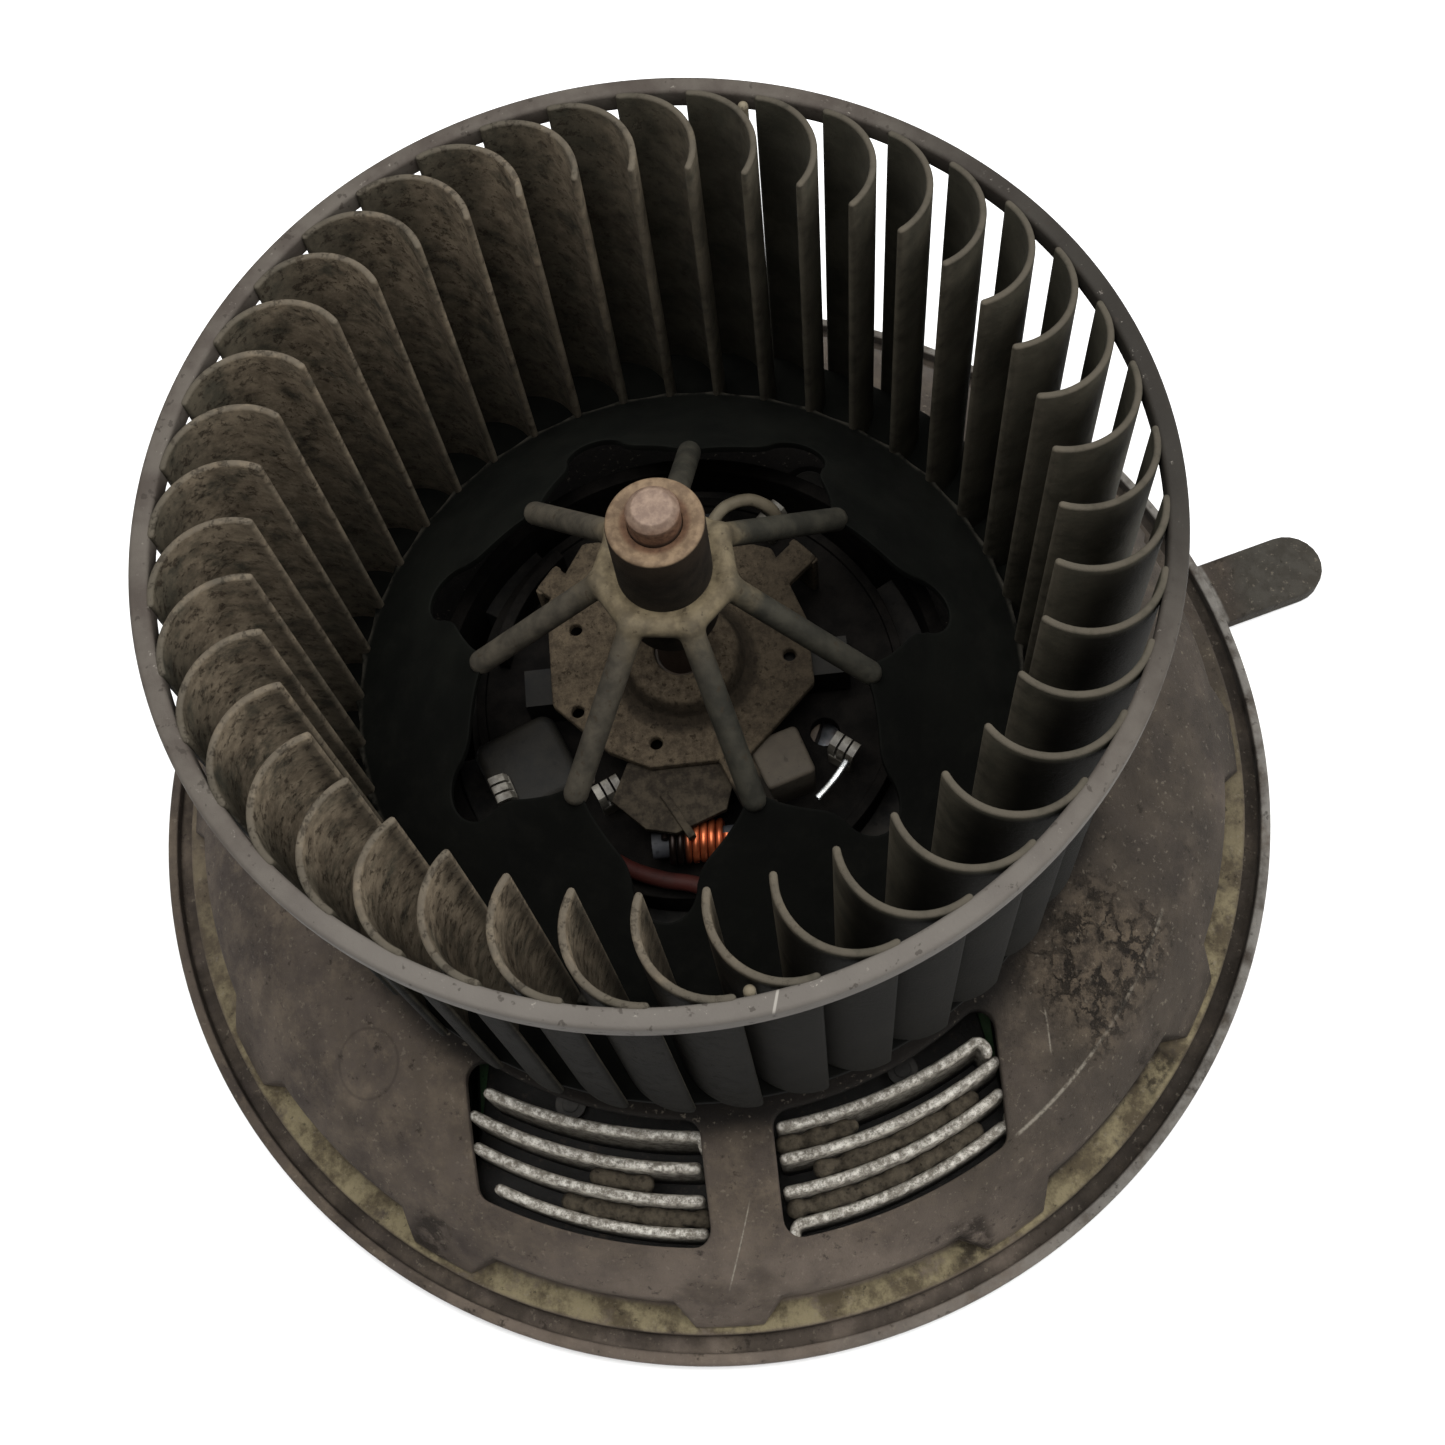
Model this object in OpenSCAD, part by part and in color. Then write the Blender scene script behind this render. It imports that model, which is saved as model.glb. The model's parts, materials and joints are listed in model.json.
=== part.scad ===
// Car cabin blower: forward-curved squirrel-cage wheel, brushed motor and domed mounting flange.
// Z is the shaft axis. Z = 0 is the face of the flange lip that seats on the heater box.

/* [Wheel] */
// Outer radius of the wheel
wheel_r = 75; // [70:0.5:76]
// Height of the wheel's upper rim above the seat
wheel_top = 122; // [121:0.5:126]
// Number of blades
blade_count = 41; // [31:1:43]
// Thickness of a blade
blade_t = 1.1; // [0.9:0.1:1.5]
// Radius of the arc that a blade follows
blade_arc_r = 10.5; // [9.5:0.1:11]
// Radial width of the top ring
ring_w = 2.8; // [2:0.1:4]
// Height of the top ring
ring_h = 4; // [3:0.5:6]
// Number of spokes in the back disc
spoke_count = 7; // [5:1:9]
// Diameter of a spoke
spoke_d = 4; // [3:0.1:5]
// Angle of the first spoke
spoke_phase = 30; // [0:1:50]

/* [Motor] */
// Diameter of the shaft
shaft_d = 8; // [6:0.5:9]
// Outer radius of the motor can
can_r = 38; // [37:0.5:39]
// Height of the can's rim
can_top = 50; // [48:0.5:51]
// Radius of the armature core
core_r = 26.5; // [24:0.5:27]
// Number of armature slots and commutator bars
slot_count = 12; // [8:1:14]
// Outer radius of the commutator
comm_r = 10.5; // [9:0.5:11]

/* [Flange] */
// Outer radius of the lip
lip_r = 109; // [108:0.5:112]
// Height of the inner deck
deck_z = 31; // [30:0.5:32]
// Number of tongues around the notched edge
tongue_count = 12; // [8:1:14]
// Radius at the tip of the locking tab
tab_tip_r = 132.5; // [125:0.5:140]
// Width of the locking tab
tab_w = 13.6; // [10:0.1:16]
// Direction of the locking tab
tab_angle = 14.5; // [0:0.5:30]

/* [Regulator] */
// Distance between heat-sink fins
fin_pitch = 5.1; // [5:0.1:5.4]
// Thickness of a fin
fin_t = 1.9; // [1.5:0.1:2.2]
// Fins in each window
fin_count = 4; // [3:1:4]

/* [Hidden] */
$fn = 64;
fit_gap = 0.04;
touch_gap = 0.03;
far = 400;
blade_phase = 0.26;
blade_x = 60.5;
blade_bottom = 46;
ring_in_r = wheel_r - ring_w;
disc_r = 71.2;
disc_in_r = 31;
disc_z = 47;
disc_t = 2;
disc_slope = 0.3735;
disc_bow = 0.0113;
window_end_r = 41;
window_half = 5.2;
hub_r = 7.4;
hub_top = 115;
hub_bottom = 84;
heptagon_r = 10;
heptagon_z = 98;
heptagon_bar = 3.8;
heptagon_ball = 4.8;
collar_r = 9;
spoke_foot_r = 32.5;
spoke_foot_z = 76;
shaft_top = 119.5;
shaft_bottom = 6;
shaft_r = shaft_d / 2;
can_t = 1.6;
can_bottom = 4;
can_in_r = can_r - can_t;
core_low = 18;
core_high = 41;
winding_h = 5.5;
magnet_in_r = core_r + 1.5;
magnet_low = 13;
magnet_high = 45;
magnet_half = 68;
bearing_r = 8;
plate_z = 60;
plate_t = 1.6;
card_t = 2.4;
cover_z = 58.3;
cover_t = 1.2;
card_r = can_in_r - 0.1;
comm_low = 49.5;
comm_high = 59;
comm_in_r = 7;
brush_gap = 0.3;
brush_w = 5;
brush_h = 6;
brush_len = 9;
brush_z = 54.2;
box_wall = 0.6;
box_end = 28;
holder_in_r = 43.5;
holder_r = 46;
holder_top = 50;
holder_low = 2;
ear_r = 51;
ear_angles = [60, 180, 330];
dome_c = 63;
dome_z = -11.25;
dome_r = 43.1;
dome_t = 2.4;
deck_in_r = holder_r + 0.2;
edge_r = 98.9;
tongue_r = 102.9;
shelf_r = 104;
shelf_z = 4.6;
groove_r = 107;
groove_z = 1.2;
lip_z = 4;
tongue_phase = -3;
tab_t = 3.5;
win_in_x = 6.2;
win_out_x = 46;
win_r = [71, 91];
fin_curve = 86;
fin_first = 73.4;
fin_low = 12;
base_z = 9;
board_z = 5.4;
board_t = 1.6;
case_z = 0.8;
case_t = 1.6;
lead_d = 3;
slot_at = [14, -55.5];
socket_at = [-75, -16];

function disc_top(r) = disc_z + disc_slope * (disc_r - r) + disc_bow * pow(disc_r - r, 2);
function dome_top(r) = dome_z + sqrt(pow(dome_r, 2) - pow(r - dome_c, 2));
function dome_low(r) = dome_z + sqrt(pow(dome_r - dome_t, 2) - pow(r - dome_c, 2));
function steps(from, to, n) = [for (i = [0:n]) from + (to - from) * i / n];

// ---------- shared shapes ----------

// Flat ring between two heights
module tube(r_out, r_in, low, high) {
    translate([0, 0, low])
        difference() {
            cylinder(r = r_out, h = high - low, $fn = 128);
            translate([0, 0, -1]) cylinder(r = r_in, h = high - low + 2, $fn = 128);
        }
}

// Pie slice between two angles, both under 90 degrees apart
module slice(from, to) {
    polygon([[0, 0], far * [cos(from), sin(from)], far * [cos((from + to) / 2), sin((from + to) / 2)],
        far * [cos(to), sin(to)]]);
}

// Curved bar of an arc, between two angles and two heights
module arc_bar(r_out, r_in, from, to, low, high) {
    translate([0, 0, low])
        linear_extrude(high - low)
            intersection() {
                difference() {
                    circle(r = r_out, $fn = 128);
                    circle(r = r_in, $fn = 128);
                }
                slice(from, to);
            }
}

// Round bar from one point to another
module rod(from, to, d) {
    v = to - from;
    length = norm(v);
    translate(from)
        rotate([0, acos(v[2] / length), atan2(v[1], v[0])])
            cylinder(d = d, h = length, $fn = 32);
}

// Unit vector along the route at point i
function heading(p, i) =
    let (v = p[min(i + 1, len(p) - 1)] - p[max(i - 1, 0)])
    v / norm(v);

// Round lead swept along a list of points
module lead(points, d) {
    sides = 12;
    n = len(points);
    rings = [for (i = [0:n - 1])
        let (t = heading(points, i), u = [1, 0, 0] - t * t[0], side = u / norm(u), up = cross(t, side))
        for (k = [0:sides - 1])
            points[i] + d / 2 * (cos(k * 360 / sides) * side + sin(k * 360 / sides) * up)];
    walls = [for (i = [0:n - 2], k = [0:sides - 1])
        [i * sides + k, (i + 1) * sides + k, (i + 1) * sides + (k + 1) % sides, i * sides + (k + 1) % sides]];
    ends = [[for (k = [0:sides - 1]) k], [for (k = [sides - 1:-1:0]) (n - 1) * sides + k]];
    polyhedron(points = rings, faces = concat(walls, ends), convexity = 6);
}

// Plate with rounded corners, centred
module round_plate(x, y, r, h) {
    linear_extrude(h)
        union() {
            square([x - 2 * r, y], center = true);
            square([x, y - 2 * r], center = true);
            for (i = [-1, 1], j = [-1, 1])
                translate([i * (x / 2 - r), j * (y / 2 - r)]) circle(r = r, $fn = 32);
        }
}

// ---------- wheel ----------

module wheel_top_ring() {
    color("#6b6765")
        rotate_extrude($fn = 128)
            polygon([[ring_in_r, wheel_top - ring_h], [wheel_r - 0.4, wheel_top - ring_h],
                [wheel_r, wheel_top - ring_h + 0.4], [wheel_r, wheel_top - 0.4],
                [wheel_r - 0.4, wheel_top], [ring_in_r, wheel_top]]);
}

// Outline of one blade with its tip on the X axis
module blade_outline() {
    tip = blade_x - sqrt(pow(blade_arc_r, 2) - pow(blade_arc_r - 0.4, 2));
    union() {
        intersection() {
            translate([blade_x, blade_arc_r])
                difference() {
                    circle(r = blade_arc_r + blade_t / 2);
                    circle(r = blade_arc_r - blade_t / 2);
                }
            polygon([[tip, -2], [wheel_r, -2], [wheel_r, 14.5], [blade_x, blade_arc_r], [tip, 3]]);
            circle(r = ring_in_r - touch_gap, $fn = 128);
        }
        translate([tip, 0.4]) circle(d = blade_t, $fn = 24);
    }
}

// Solid of revolution that reaches down from the disc's upper face
module below_disc(gap) {
    rotate_extrude($fn = 128)
        polygon(concat([for (r = steps(disc_in_r - 3, disc_r + 0.05, 20)) [r, disc_top(r) + gap]],
            [[disc_r + 4, disc_z + gap], [disc_r + 4, 0], [disc_in_r - 3, 0]]));
}

module wheel_blades() {
    color("#5b564d")
        difference() {
            for (k = [0:blade_count - 1])
                rotate(blade_phase + k * 360 / blade_count)
                    translate([0, 0, blade_bottom])
                        linear_extrude(wheel_top - blade_bottom) blade_outline();
            below_disc(touch_gap);
        }
}

module disc_windows() {
    for (k = [0:spoke_count - 1])
        rotate(spoke_phase + (k + 0.5) * 360 / spoke_count)
            linear_extrude(far) {
                translate([window_end_r - 0.5, 0]) circle(r = window_half, $fn = 48);
                polygon([[window_end_r, -window_half], [window_end_r, window_half], [35, 9.1], [32, 11.1],
                    [29, 12.6], [20, 9], [20, -9], [29, -12.6], [32, -11.1], [35, -9.1]]);
            }
}

module wheel_back_disc() {
    color("#2b2a28")
        difference() {
            rotate_extrude($fn = 128)
                polygon(concat([for (r = steps(disc_in_r, disc_r, 20)) [r, disc_top(r)]],
                    [for (r = steps(disc_r, disc_in_r, 20)) [r, disc_top(r) - disc_t]]));
            disc_windows();
        }
}

// Collar, ring of round bars with ball corners, and the slanted spokes
module wheel_spider() {
    step = 360 / spoke_count;
    color("#8a8470")
        difference() {
            union() {
                tube(collar_r, hub_r - 1, heptagon_z - 1.6, heptagon_z + 1.2);
                for (k = [0:spoke_count - 1])
                    rotate(spoke_phase + k * step) {
                        corner = [heptagon_r, 0, heptagon_z];
                        translate(corner) sphere(d = heptagon_ball);
                        rod(corner, concat(heptagon_r * [cos(step), sin(step)], [heptagon_z]), heptagon_bar);
                        rod(corner, [spoke_foot_r, 0, spoke_foot_z], spoke_d);
                    }
            }
            translate([0, 0, hub_bottom]) cylinder(r = hub_r + touch_gap, h = 40);
            tube(far, disc_in_r - touch_gap, disc_z, hub_top);
        }
}

module wheel_hub() {
    color("#2f2d2b")
        difference() {
            rotate_extrude()
                polygon([[0, hub_bottom], [hub_r, hub_bottom], [hub_r, hub_top - 0.6], [hub_r - 0.6, hub_top],
                    [0, hub_top]]);
            tube(hub_r - 1.3, shaft_r + 1.2, hub_top - 1.2, hub_top + 1);
            translate([0, 0, hub_bottom - 1]) cylinder(r = shaft_r + fit_gap / 2, h = 50);
        }
}

// Small push-on clips between two blades, just inside the ring
module balance_clips() {
    nub_d = 1.7;
    color("#c9c4b8")
        for (a = [275.7, 73.75])
            rotate(a)
                translate([ring_in_r - 1.1, 0, wheel_top - 10.5]) {
                    cylinder(d = nub_d, h = 8.6, $fn = 24);
                    translate([0, 0, 8.6]) sphere(d = nub_d, $fn = 24);
                }
}

// ---------- motor, turning ----------

module motor_shaft() {
    color("#8f7f6c") {
        translate([0, 0, shaft_bottom]) cylinder(r = shaft_r, h = shaft_top - 1 - shaft_bottom);
        translate([0, 0, shaft_top - 1]) cylinder(r1 = shaft_r, r2 = shaft_r - 0.95, h = 1);
    }
}

module armature_core() {
    slot_r = 2.5;
    color("#5f6164")
        translate([0, 0, core_low])
            linear_extrude(core_high - core_low)
                difference() {
                    circle(r = core_r);
                    circle(r = shaft_r + fit_gap / 2);
                    for (k = [0:slot_count - 1])
                        rotate(k * 360 / slot_count) {
                            translate([core_r - 5.5, 0]) circle(r = slot_r, $fn = 32);
                            translate([core_r - 5, -0.9]) square([8, 1.8]);
                        }
                }
}

module armature_windings() {
    wire_r = 2.3;
    color("#a8552a") {
        for (end = [[core_low - winding_h, core_low - touch_gap],
            [core_high + touch_gap, core_high + winding_h]])
            tube(core_r - 3, shaft_r + 3, end[0], end[1]);
        for (k = [0:slot_count - 1])
            rotate(k * 360 / slot_count)
                translate([core_r - 5.5, 0, core_low - 1])
                    cylinder(r = wire_r, h = core_high - core_low + 2, $fn = 32);
    }
}

module commutator_sleeve() {
    color("#3a2a20") {
        tube(comm_in_r - touch_gap, shaft_r + fit_gap / 2, comm_low - 1.5, comm_high + 0.6);
        tube(comm_r - 1, shaft_r + fit_gap / 2, comm_low - 2.8, comm_low - 0.05);
    }
}

module commutator_bars() {
    half = 180 / slot_count - 2.2;
    color("#b87333")
        for (k = [0:slot_count - 1]) {
            a = (k + 0.5) * 360 / slot_count;
            arc_bar(comm_r, comm_in_r, a - half, a + half, comm_low, comm_high);
        }
}

module thrust_washers() {
    color("#6d5a3c") {
        tube(6.4, shaft_r + fit_gap, comm_high + 0.7, comm_high + 1.3);
        tube(6.4, shaft_r + fit_gap, 11.7, 12.4);
    }
}

// ---------- housing ----------

// Domed shell from the deck to the notched edge
module dome_shell(edge) {
    rotate_extrude($fn = 128)
        polygon(concat([[deck_in_r, deck_z]], [for (r = steps(71.5, edge, 14)) [r, dome_top(r)]],
            [[edge, 0], [edge - dome_t, 0]], [for (r = steps(edge - dome_t, 71.5, 14)) [r, dome_low(r)]],
            [[deck_in_r, deck_z - dome_t]]));
}

// Trapezoid notch outline between two tongues, drawn as the tongue it leaves
module tongue_wedges() {
    for (k = [0:tongue_count - 1])
        rotate(-90 + tongue_phase + k * 360 / tongue_count)
            polygon([[edge_r - 6, -9.4], [edge_r, -9.4], [tongue_r + 0.2, -5.8], [tongue_r + 3, -5.8],
                [tongue_r + 3, 5.8], [tongue_r + 0.2, 5.8], [edge_r, 9.4], [edge_r - 6, 9.4]]);
}

// Outline of the two heat-sink windows, with round corners
module windows() {
    corner = 3;
    for (side = [-1, 1])
        intersection() {
            difference() {
                circle(r = win_r[1], $fn = 128);
                circle(r = win_r[0], $fn = 128);
            }
            translate([side > 0 ? win_in_x : -win_out_x, -far / 2]) square([win_out_x - win_in_x, far / 2]);
            union() {
                translate([side * (win_in_x + win_out_x) / 2, 0])
                    square([win_out_x - win_in_x - 2 * corner, far], center = true);
                difference() {
                    circle(r = win_r[1] - corner, $fn = 128);
                    circle(r = win_r[0] + corner, $fn = 128);
                }
                for (x = [win_in_x + corner, win_out_x - corner], r = [win_r[0] + corner, win_r[1] - corner])
                    translate([side * x, -sqrt(r * r - x * x)]) circle(r = corner, $fn = 32);
            }
        }
}

module flange() {
    color("#55504b")
        difference() {
            union() {
                dome_shell(edge_r);
                intersection() {
                    dome_shell(tongue_r);
                    translate([0, 0, -1]) linear_extrude(60) tongue_wedges();
                }
                rotate_extrude($fn = 128)
                    polygon([[edge_r - dome_t, 0], [lip_r - 0.6, 0], [lip_r, 0.6], [lip_r, lip_z - 0.8],
                        [lip_r - 0.8, lip_z], [groove_r, lip_z], [groove_r, groove_z], [shelf_r, groove_z],
                        [shelf_r, shelf_z], [edge_r - dome_t, shelf_z]]);
                rotate(tab_angle)
                    intersection() {
                        translate([lip_r - 1, -tab_w / 2, 0]) cube([60, tab_w, tab_t]);
                        union() {
                            cube([2 * (tab_tip_r - tab_w / 2), far, far], center = true);
                            translate([tab_tip_r - tab_w / 2, 0, -1]) cylinder(d = tab_w, h = 10);
                        }
                    }
                for (a = ear_angles)
                    rotate(a) translate([ear_r + 0.6, 0, deck_z - 11]) cylinder(r = 4.6, h = 9.5);
            }
            translate([0, 0, 6]) linear_extrude(60) windows();
            for (a = ear_angles)
                rotate(a) translate([ear_r + 0.6, 0, deck_z - 10]) cylinder(r = 1.75, h = 20, $fn = 32);
            // Slot in the deck for the motor leads
            translate([slot_at[0], slot_at[1], deck_z - 5]) round_plate(20, 8, 3.5, 8);
            translate([0, 0, -1]) cylinder(r = deck_in_r, h = 60, $fn = 128);
        }
}

module motor_holder() {
    color("#77716a")
        difference() {
            union() {
                tube(holder_r, holder_in_r, holder_low, holder_top);
                tube(holder_r, 33, holder_low, holder_low + 1.8);
                for (a = ear_angles)
                    rotate(a) {
                        translate([holder_r - 0.6, -6, deck_z + 0.03]) cube([6.2, 12, 2.4]);
                        translate([ear_r + 0.6, 0, deck_z + 0.03]) cylinder(r = 6, h = 2.4);
                    }
            }
            for (a = ear_angles)
                rotate(a) translate([ear_r + 0.6, 0, deck_z - 2]) cylinder(r = 2.1, h = 8, $fn = 32);
            // Cut-out in the wall where the leads cross it
            translate([-2, -60, 43]) cube([28, 30, 20]);
        }
}

// Rubber ring with lugs, between the can and the holder
module isolator(low, high) {
    color("#242424") {
        tube(can_r + 2.2, can_r + touch_gap, low, high);
        for (k = [0:5])
            arc_bar(holder_in_r - touch_gap, can_r + 1.5, k * 60 + 8, k * 60 + 28, low, high);
    }
}

module isolator_upper() {
    isolator(36, 42);
}

module isolator_lower() {
    isolator(8, 14);
}

module motor_can() {
    color("#7d7f80")
        difference() {
            union() {
                tube(can_r, can_in_r, can_bottom, can_top);
                tube(can_r, 2, can_bottom, can_bottom + can_t);
                tube(bearing_r + 1.4, bearing_r + fit_gap / 2, can_bottom + 0.5, 11);
            }
            for (k = [0:3])
                rotate(45 + k * 90) translate([22, 0, 0]) round_plate(14, 6, 2.5, 7);
        }
}

module magnet(centre) {
    color("#3b3d40")
        arc_bar(can_in_r - touch_gap, magnet_in_r, centre - magnet_half, centre + magnet_half,
            magnet_low, magnet_high);
}

module magnet_a() {
    magnet(90);
}

module magnet_b() {
    magnet(270);
}

module magnet_springs() {
    color("#a5a8aa")
        for (a = [0, 180]) {
            arc_bar(can_in_r - touch_gap, can_in_r - 0.9, a - 19, a + 19, 16, 42);
            for (s = [-1, 1])
                arc_bar(can_in_r - 0.5, can_in_r - 4, a + s * 19.6 - 0.9, a + s * 19.6 + 0.9, 16, 42);
        }
}

// Chamfered steel plate across the top of the motor, with legs down to the card
module end_plate() {
    outline = [[-7.3, -18], [9, -18], [21.6, -6], [21.6, 6], [17, 20], [4, 25], [-16, 25], [-23, 14],
        [-23, -5], [-14, -14.5]];
    color("#7c6f5d")
        difference() {
            union() {
                translate([0, 0, plate_z]) linear_extrude(plate_t) polygon(outline);
                rotate_extrude()
                    polygon([[0, plate_z + 0.1], [13, plate_z + 0.1], [12.4, plate_z + 2.6],
                        [10.2, plate_z + 3.4], [9.6, plate_z + 7.4], [0, plate_z + 8.6]]);
                for (a = [40, 140, 232, 291])
                    rotate(a) {
                        translate([18, -3, plate_z]) cube([12, 6, plate_t]);
                        translate([28.6, -3, can_top + touch_gap])
                            cube([1.4, 6, plate_z + plate_t - can_top - touch_gap]);
                    }
            }
            translate([0, 0, plate_z - 1]) cylinder(r = bearing_r + fit_gap / 2, h = 8.2);
            translate([0, 0, plate_z]) cylinder(r = shaft_r + 1.2, h = 20);
            for (p = [[-6, -13.8], [17.9, -0.5], [18.5, 14.7], [-18.2, 8.6], [-18.8, -6.6]])
                translate([p[0], p[1], plate_z - 1]) cylinder(r = 1.1, h = 5, $fn = 24);
        }
}

module bearing_upper() {
    color("#9a7b4f") tube(bearing_r, shaft_r + fit_gap, plate_z + 1.4, plate_z + 6.9);
}

module bearing_lower() {
    color("#9a7b4f") tube(bearing_r, shaft_r + fit_gap, can_bottom + can_t + 0.1, 11);
}

module bearing_retainer_upper() {
    color("#b9bcbf") tube(bearing_r - 0.1, 5.6, plate_z + 0.4, plate_z + 1.3);
}

module bearing_retainer_lower() {
    color("#b9bcbf") tube(bearing_r + 1.3, 6.6, 11.05, 11.6);
}

module brush_card() {
    color("#6f6d68")
        difference() {
            union() {
                tube(card_r, comm_r + 4, can_top - card_t - 0.6, can_top - 0.6);
                // Raised wall at the back left
                arc_bar(34.5, 32.6, 128, 166, can_top - 0.7, can_top + 6);
                // Cover plate at the front, on two posts, with a ridge across it
                translate([0, 0, cover_z])
                    linear_extrude(cover_t)
                        polygon([[-14.3, -22.5], [-9, -27.9], [-4, -29.2], [4.6, -26], [7.2, -18.5],
                            [5.4, -15.4], [-4.2, -17.4], [-11.2, -16]]);
                for (p = [[-9.5, -21.5], [3.5, -20.5]])
                    translate([p[0], p[1], can_top - 0.7])
                        cylinder(r = 1.6, h = cover_z + 1.2 - can_top, $fn = 32);
                translate([-6.2, -22.6, cover_z + 0.2]) rotate(-62) cube([9, 1.3, 1.7]);
            }
            for (k = [0:2])
                rotate(k * 120 + 95) translate([25, 0, can_top - 6]) cylinder(r = 2.6, h = 8, $fn = 32);
        }
}

// ---------- brush gear, one side at +X and the other turned half round ----------

module brush_box() {
    w = brush_w + 0.5;
    h = brush_h + 0.5;
    color("#b59a5b")
        translate([comm_r + 1.6, 0, brush_z])
            difference() {
                translate([0, -w / 2 - box_wall, -h / 2 - box_wall])
                    cube([box_end - comm_r - 1.6, w + 2 * box_wall, h + 2 * box_wall]);
                translate([-1, -w / 2, -h / 2]) cube([box_end - comm_r - 1.6 + 0.4, w, h]);
            }
}

module carbon_brush() {
    color("#2a2a2c")
        difference() {
            translate([comm_r - 2, -brush_w / 2, brush_z - brush_h / 2])
                cube([brush_len + 2, brush_w, brush_h]);
            translate([0, 0, brush_z - 10]) cylinder(r = comm_r + brush_gap, h = 20);
        }
}

module brush_spring() {
    turns = 4;
    from = comm_r + brush_len + 0.15;
    length = box_end - box_wall - from - 0.15;
    color("#c8cbce")
        for (i = [0:turns - 1])
            translate([from + 0.4 + i * (length - 0.8) / (turns - 1), 0, brush_z])
                rotate([0, 90, 0]) rotate_extrude($fn = 32) translate([1.9, 0]) circle(d = 0.7, $fn = 16);
}

module brush_box_a() {
    brush_box();
}

module brush_box_b() {
    rotate(180) brush_box();
}

module carbon_brush_a() {
    carbon_brush();
}

module carbon_brush_b() {
    rotate(180) carbon_brush();
}

module brush_spring_a() {
    brush_spring();
}

module brush_spring_b() {
    rotate(180) brush_spring();
}

// ---------- suppression parts and wiring ----------

choke_z = 54.2;
choke_r = 29.4;
choke_turns = 8;
choke_wire = 1.3;

// Copper coil lying along X on its ferrite rod
module choke_coil() {
    color("#c06a35")
        translate([-1, -choke_r, choke_z])
            for (i = [0:choke_turns - 1])
                translate([(i - (choke_turns - 1) / 2) * choke_wire, 0, 0])
                    rotate([0, 90, 0])
                        rotate_extrude($fn = 48) translate([3, 0]) circle(d = choke_wire, $fn = 16);
}

module choke_core() {
    color("#3c3a38")
        translate([-8.5, -choke_r, choke_z]) rotate([0, 90, 0]) cylinder(d = 4.4, h = 15, $fn = 32);
}

module choke_coil_a() {
    choke_coil();
}

module choke_coil_b() {
    rotate(180) choke_coil();
}

module choke_core_a() {
    choke_core();
}

module choke_core_b() {
    rotate(180) choke_core();
}

module suppressor_block() {
    color("#a29c8c")
        translate([14.6, -18, can_top - 0.5]) rotate(17) round_plate(9, 9, 1, 10.2);
}

// Box on a small foot, wide enough to hang over the motor's rim
module relay_box() {
    color("#8a8578") {
        translate([-26, -13.5, can_top - 0.5]) rotate(22) round_plate(9, 11, 1.5, 1);
        translate([-28.5, -13.4, can_top + 0.3]) rotate(22) round_plate(15, 15, 2.5, 6.7);
    }
}

// Folded spring terminals: on the card, and one on top of the box
module terminal_clips() {
    card = can_top - 0.5;
    box = can_top + 7.1;
    color("#c9c9c6")
        for (c = [[-14.6, -20.2, card, 25, 1], [24.6, -17, card, -40, 1], [18.6, 28.4, card, 45, 1],
            [-31.5, -17.6, box, 110, 0.3]])
            translate([c[0], c[1], c[2]])
                rotate(c[3]) {
                    translate([-2.4, -0.5, 0]) cube([4.8, 1, 6.5 * c[4]]);
                    translate([-2.4, -0.5, 6 * c[4]]) cube([4.8, 3, 0.8]);
                }
}

red_route = [[-7, -62.5, 8], [-4, -61, 12], [3, -58, 18], [7, -55.8, 23], [7, -55.5, 28], [7, -55.5, 35],
    [7, -54.5, 40], [6.8, -51.5, 46], [6, -47.5, 51], [4.6, -43.2, 53.6], [2.4, -39.2, 53.5],
    [-2, -36.3, 52.6], [-7, -34.8, 52.1], [-12, -32.6, 51.8], [-16, -29.8, 51.3]];
cream_route = [[7, -62.5, 8], [10, -61, 12], [17, -58, 18], [21, -55.8, 23], [21, -55.5, 28],
    [21, -55.5, 35],
    [20.5, -54, 40], [19.4, -50.5, 46], [17.6, -46, 51], [15.6, -41, 53.6], [14, -37, 53.5],
    [12.8, -34, 52.8], [12, -32, 50.6]];

module lead_red() {
    color("#8c3b28") lead(red_route, lead_d);
}

module lead_cream() {
    color("#d8cfb4") lead(cream_route, lead_d);
}

module lead_grommet() {
    color("#2b2b2b")
        translate([slot_at[0], slot_at[1], deck_z - dome_t - 1])
            difference() {
                union() {
                    round_plate(19.9, 7.9, 3.5, dome_t + 2.2);
                    translate([0, 0, dome_t + 1.05]) round_plate(22, 10, 4, 1.1);
                }
                for (s = [-1, 1]) translate([s * 7, 0, -1]) cylinder(d = lead_d + 0.1, h = 10, $fn = 32);
            }
}

// ---------- regulator under the front of the dome ----------

// Outline of the heat sink's base, the board and the case, grown or shrunk by a margin
module regulator_outline(margin) {
    intersection() {
        difference() {
            circle(r = 93.5 + margin, $fn = 128);
            circle(r = 66 - margin, $fn = 128);
        }
        translate([-49 - margin, -far]) square([98 + 2 * margin, far]);
    }
}

// One curved fin, cut to the window's width
module fin(k, side) {
    y = fin_first + k * fin_pitch;
    top = dome_top(y) - 2;
    translate([0, 0, fin_low - 0.5])
        linear_extrude(top - fin_low + 0.5)
            intersection() {
                translate([0, -y + fin_curve])
                    difference() {
                        circle(r = fin_curve + fin_t / 2, $fn = 128);
                        circle(r = fin_curve - fin_t / 2, $fn = 128);
                    }
                translate([side > 0 ? win_in_x + 1.2 : -win_out_x + 1.6, -far])
                    square([win_out_x - win_in_x - 2.8, far]);
            }
}

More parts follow.
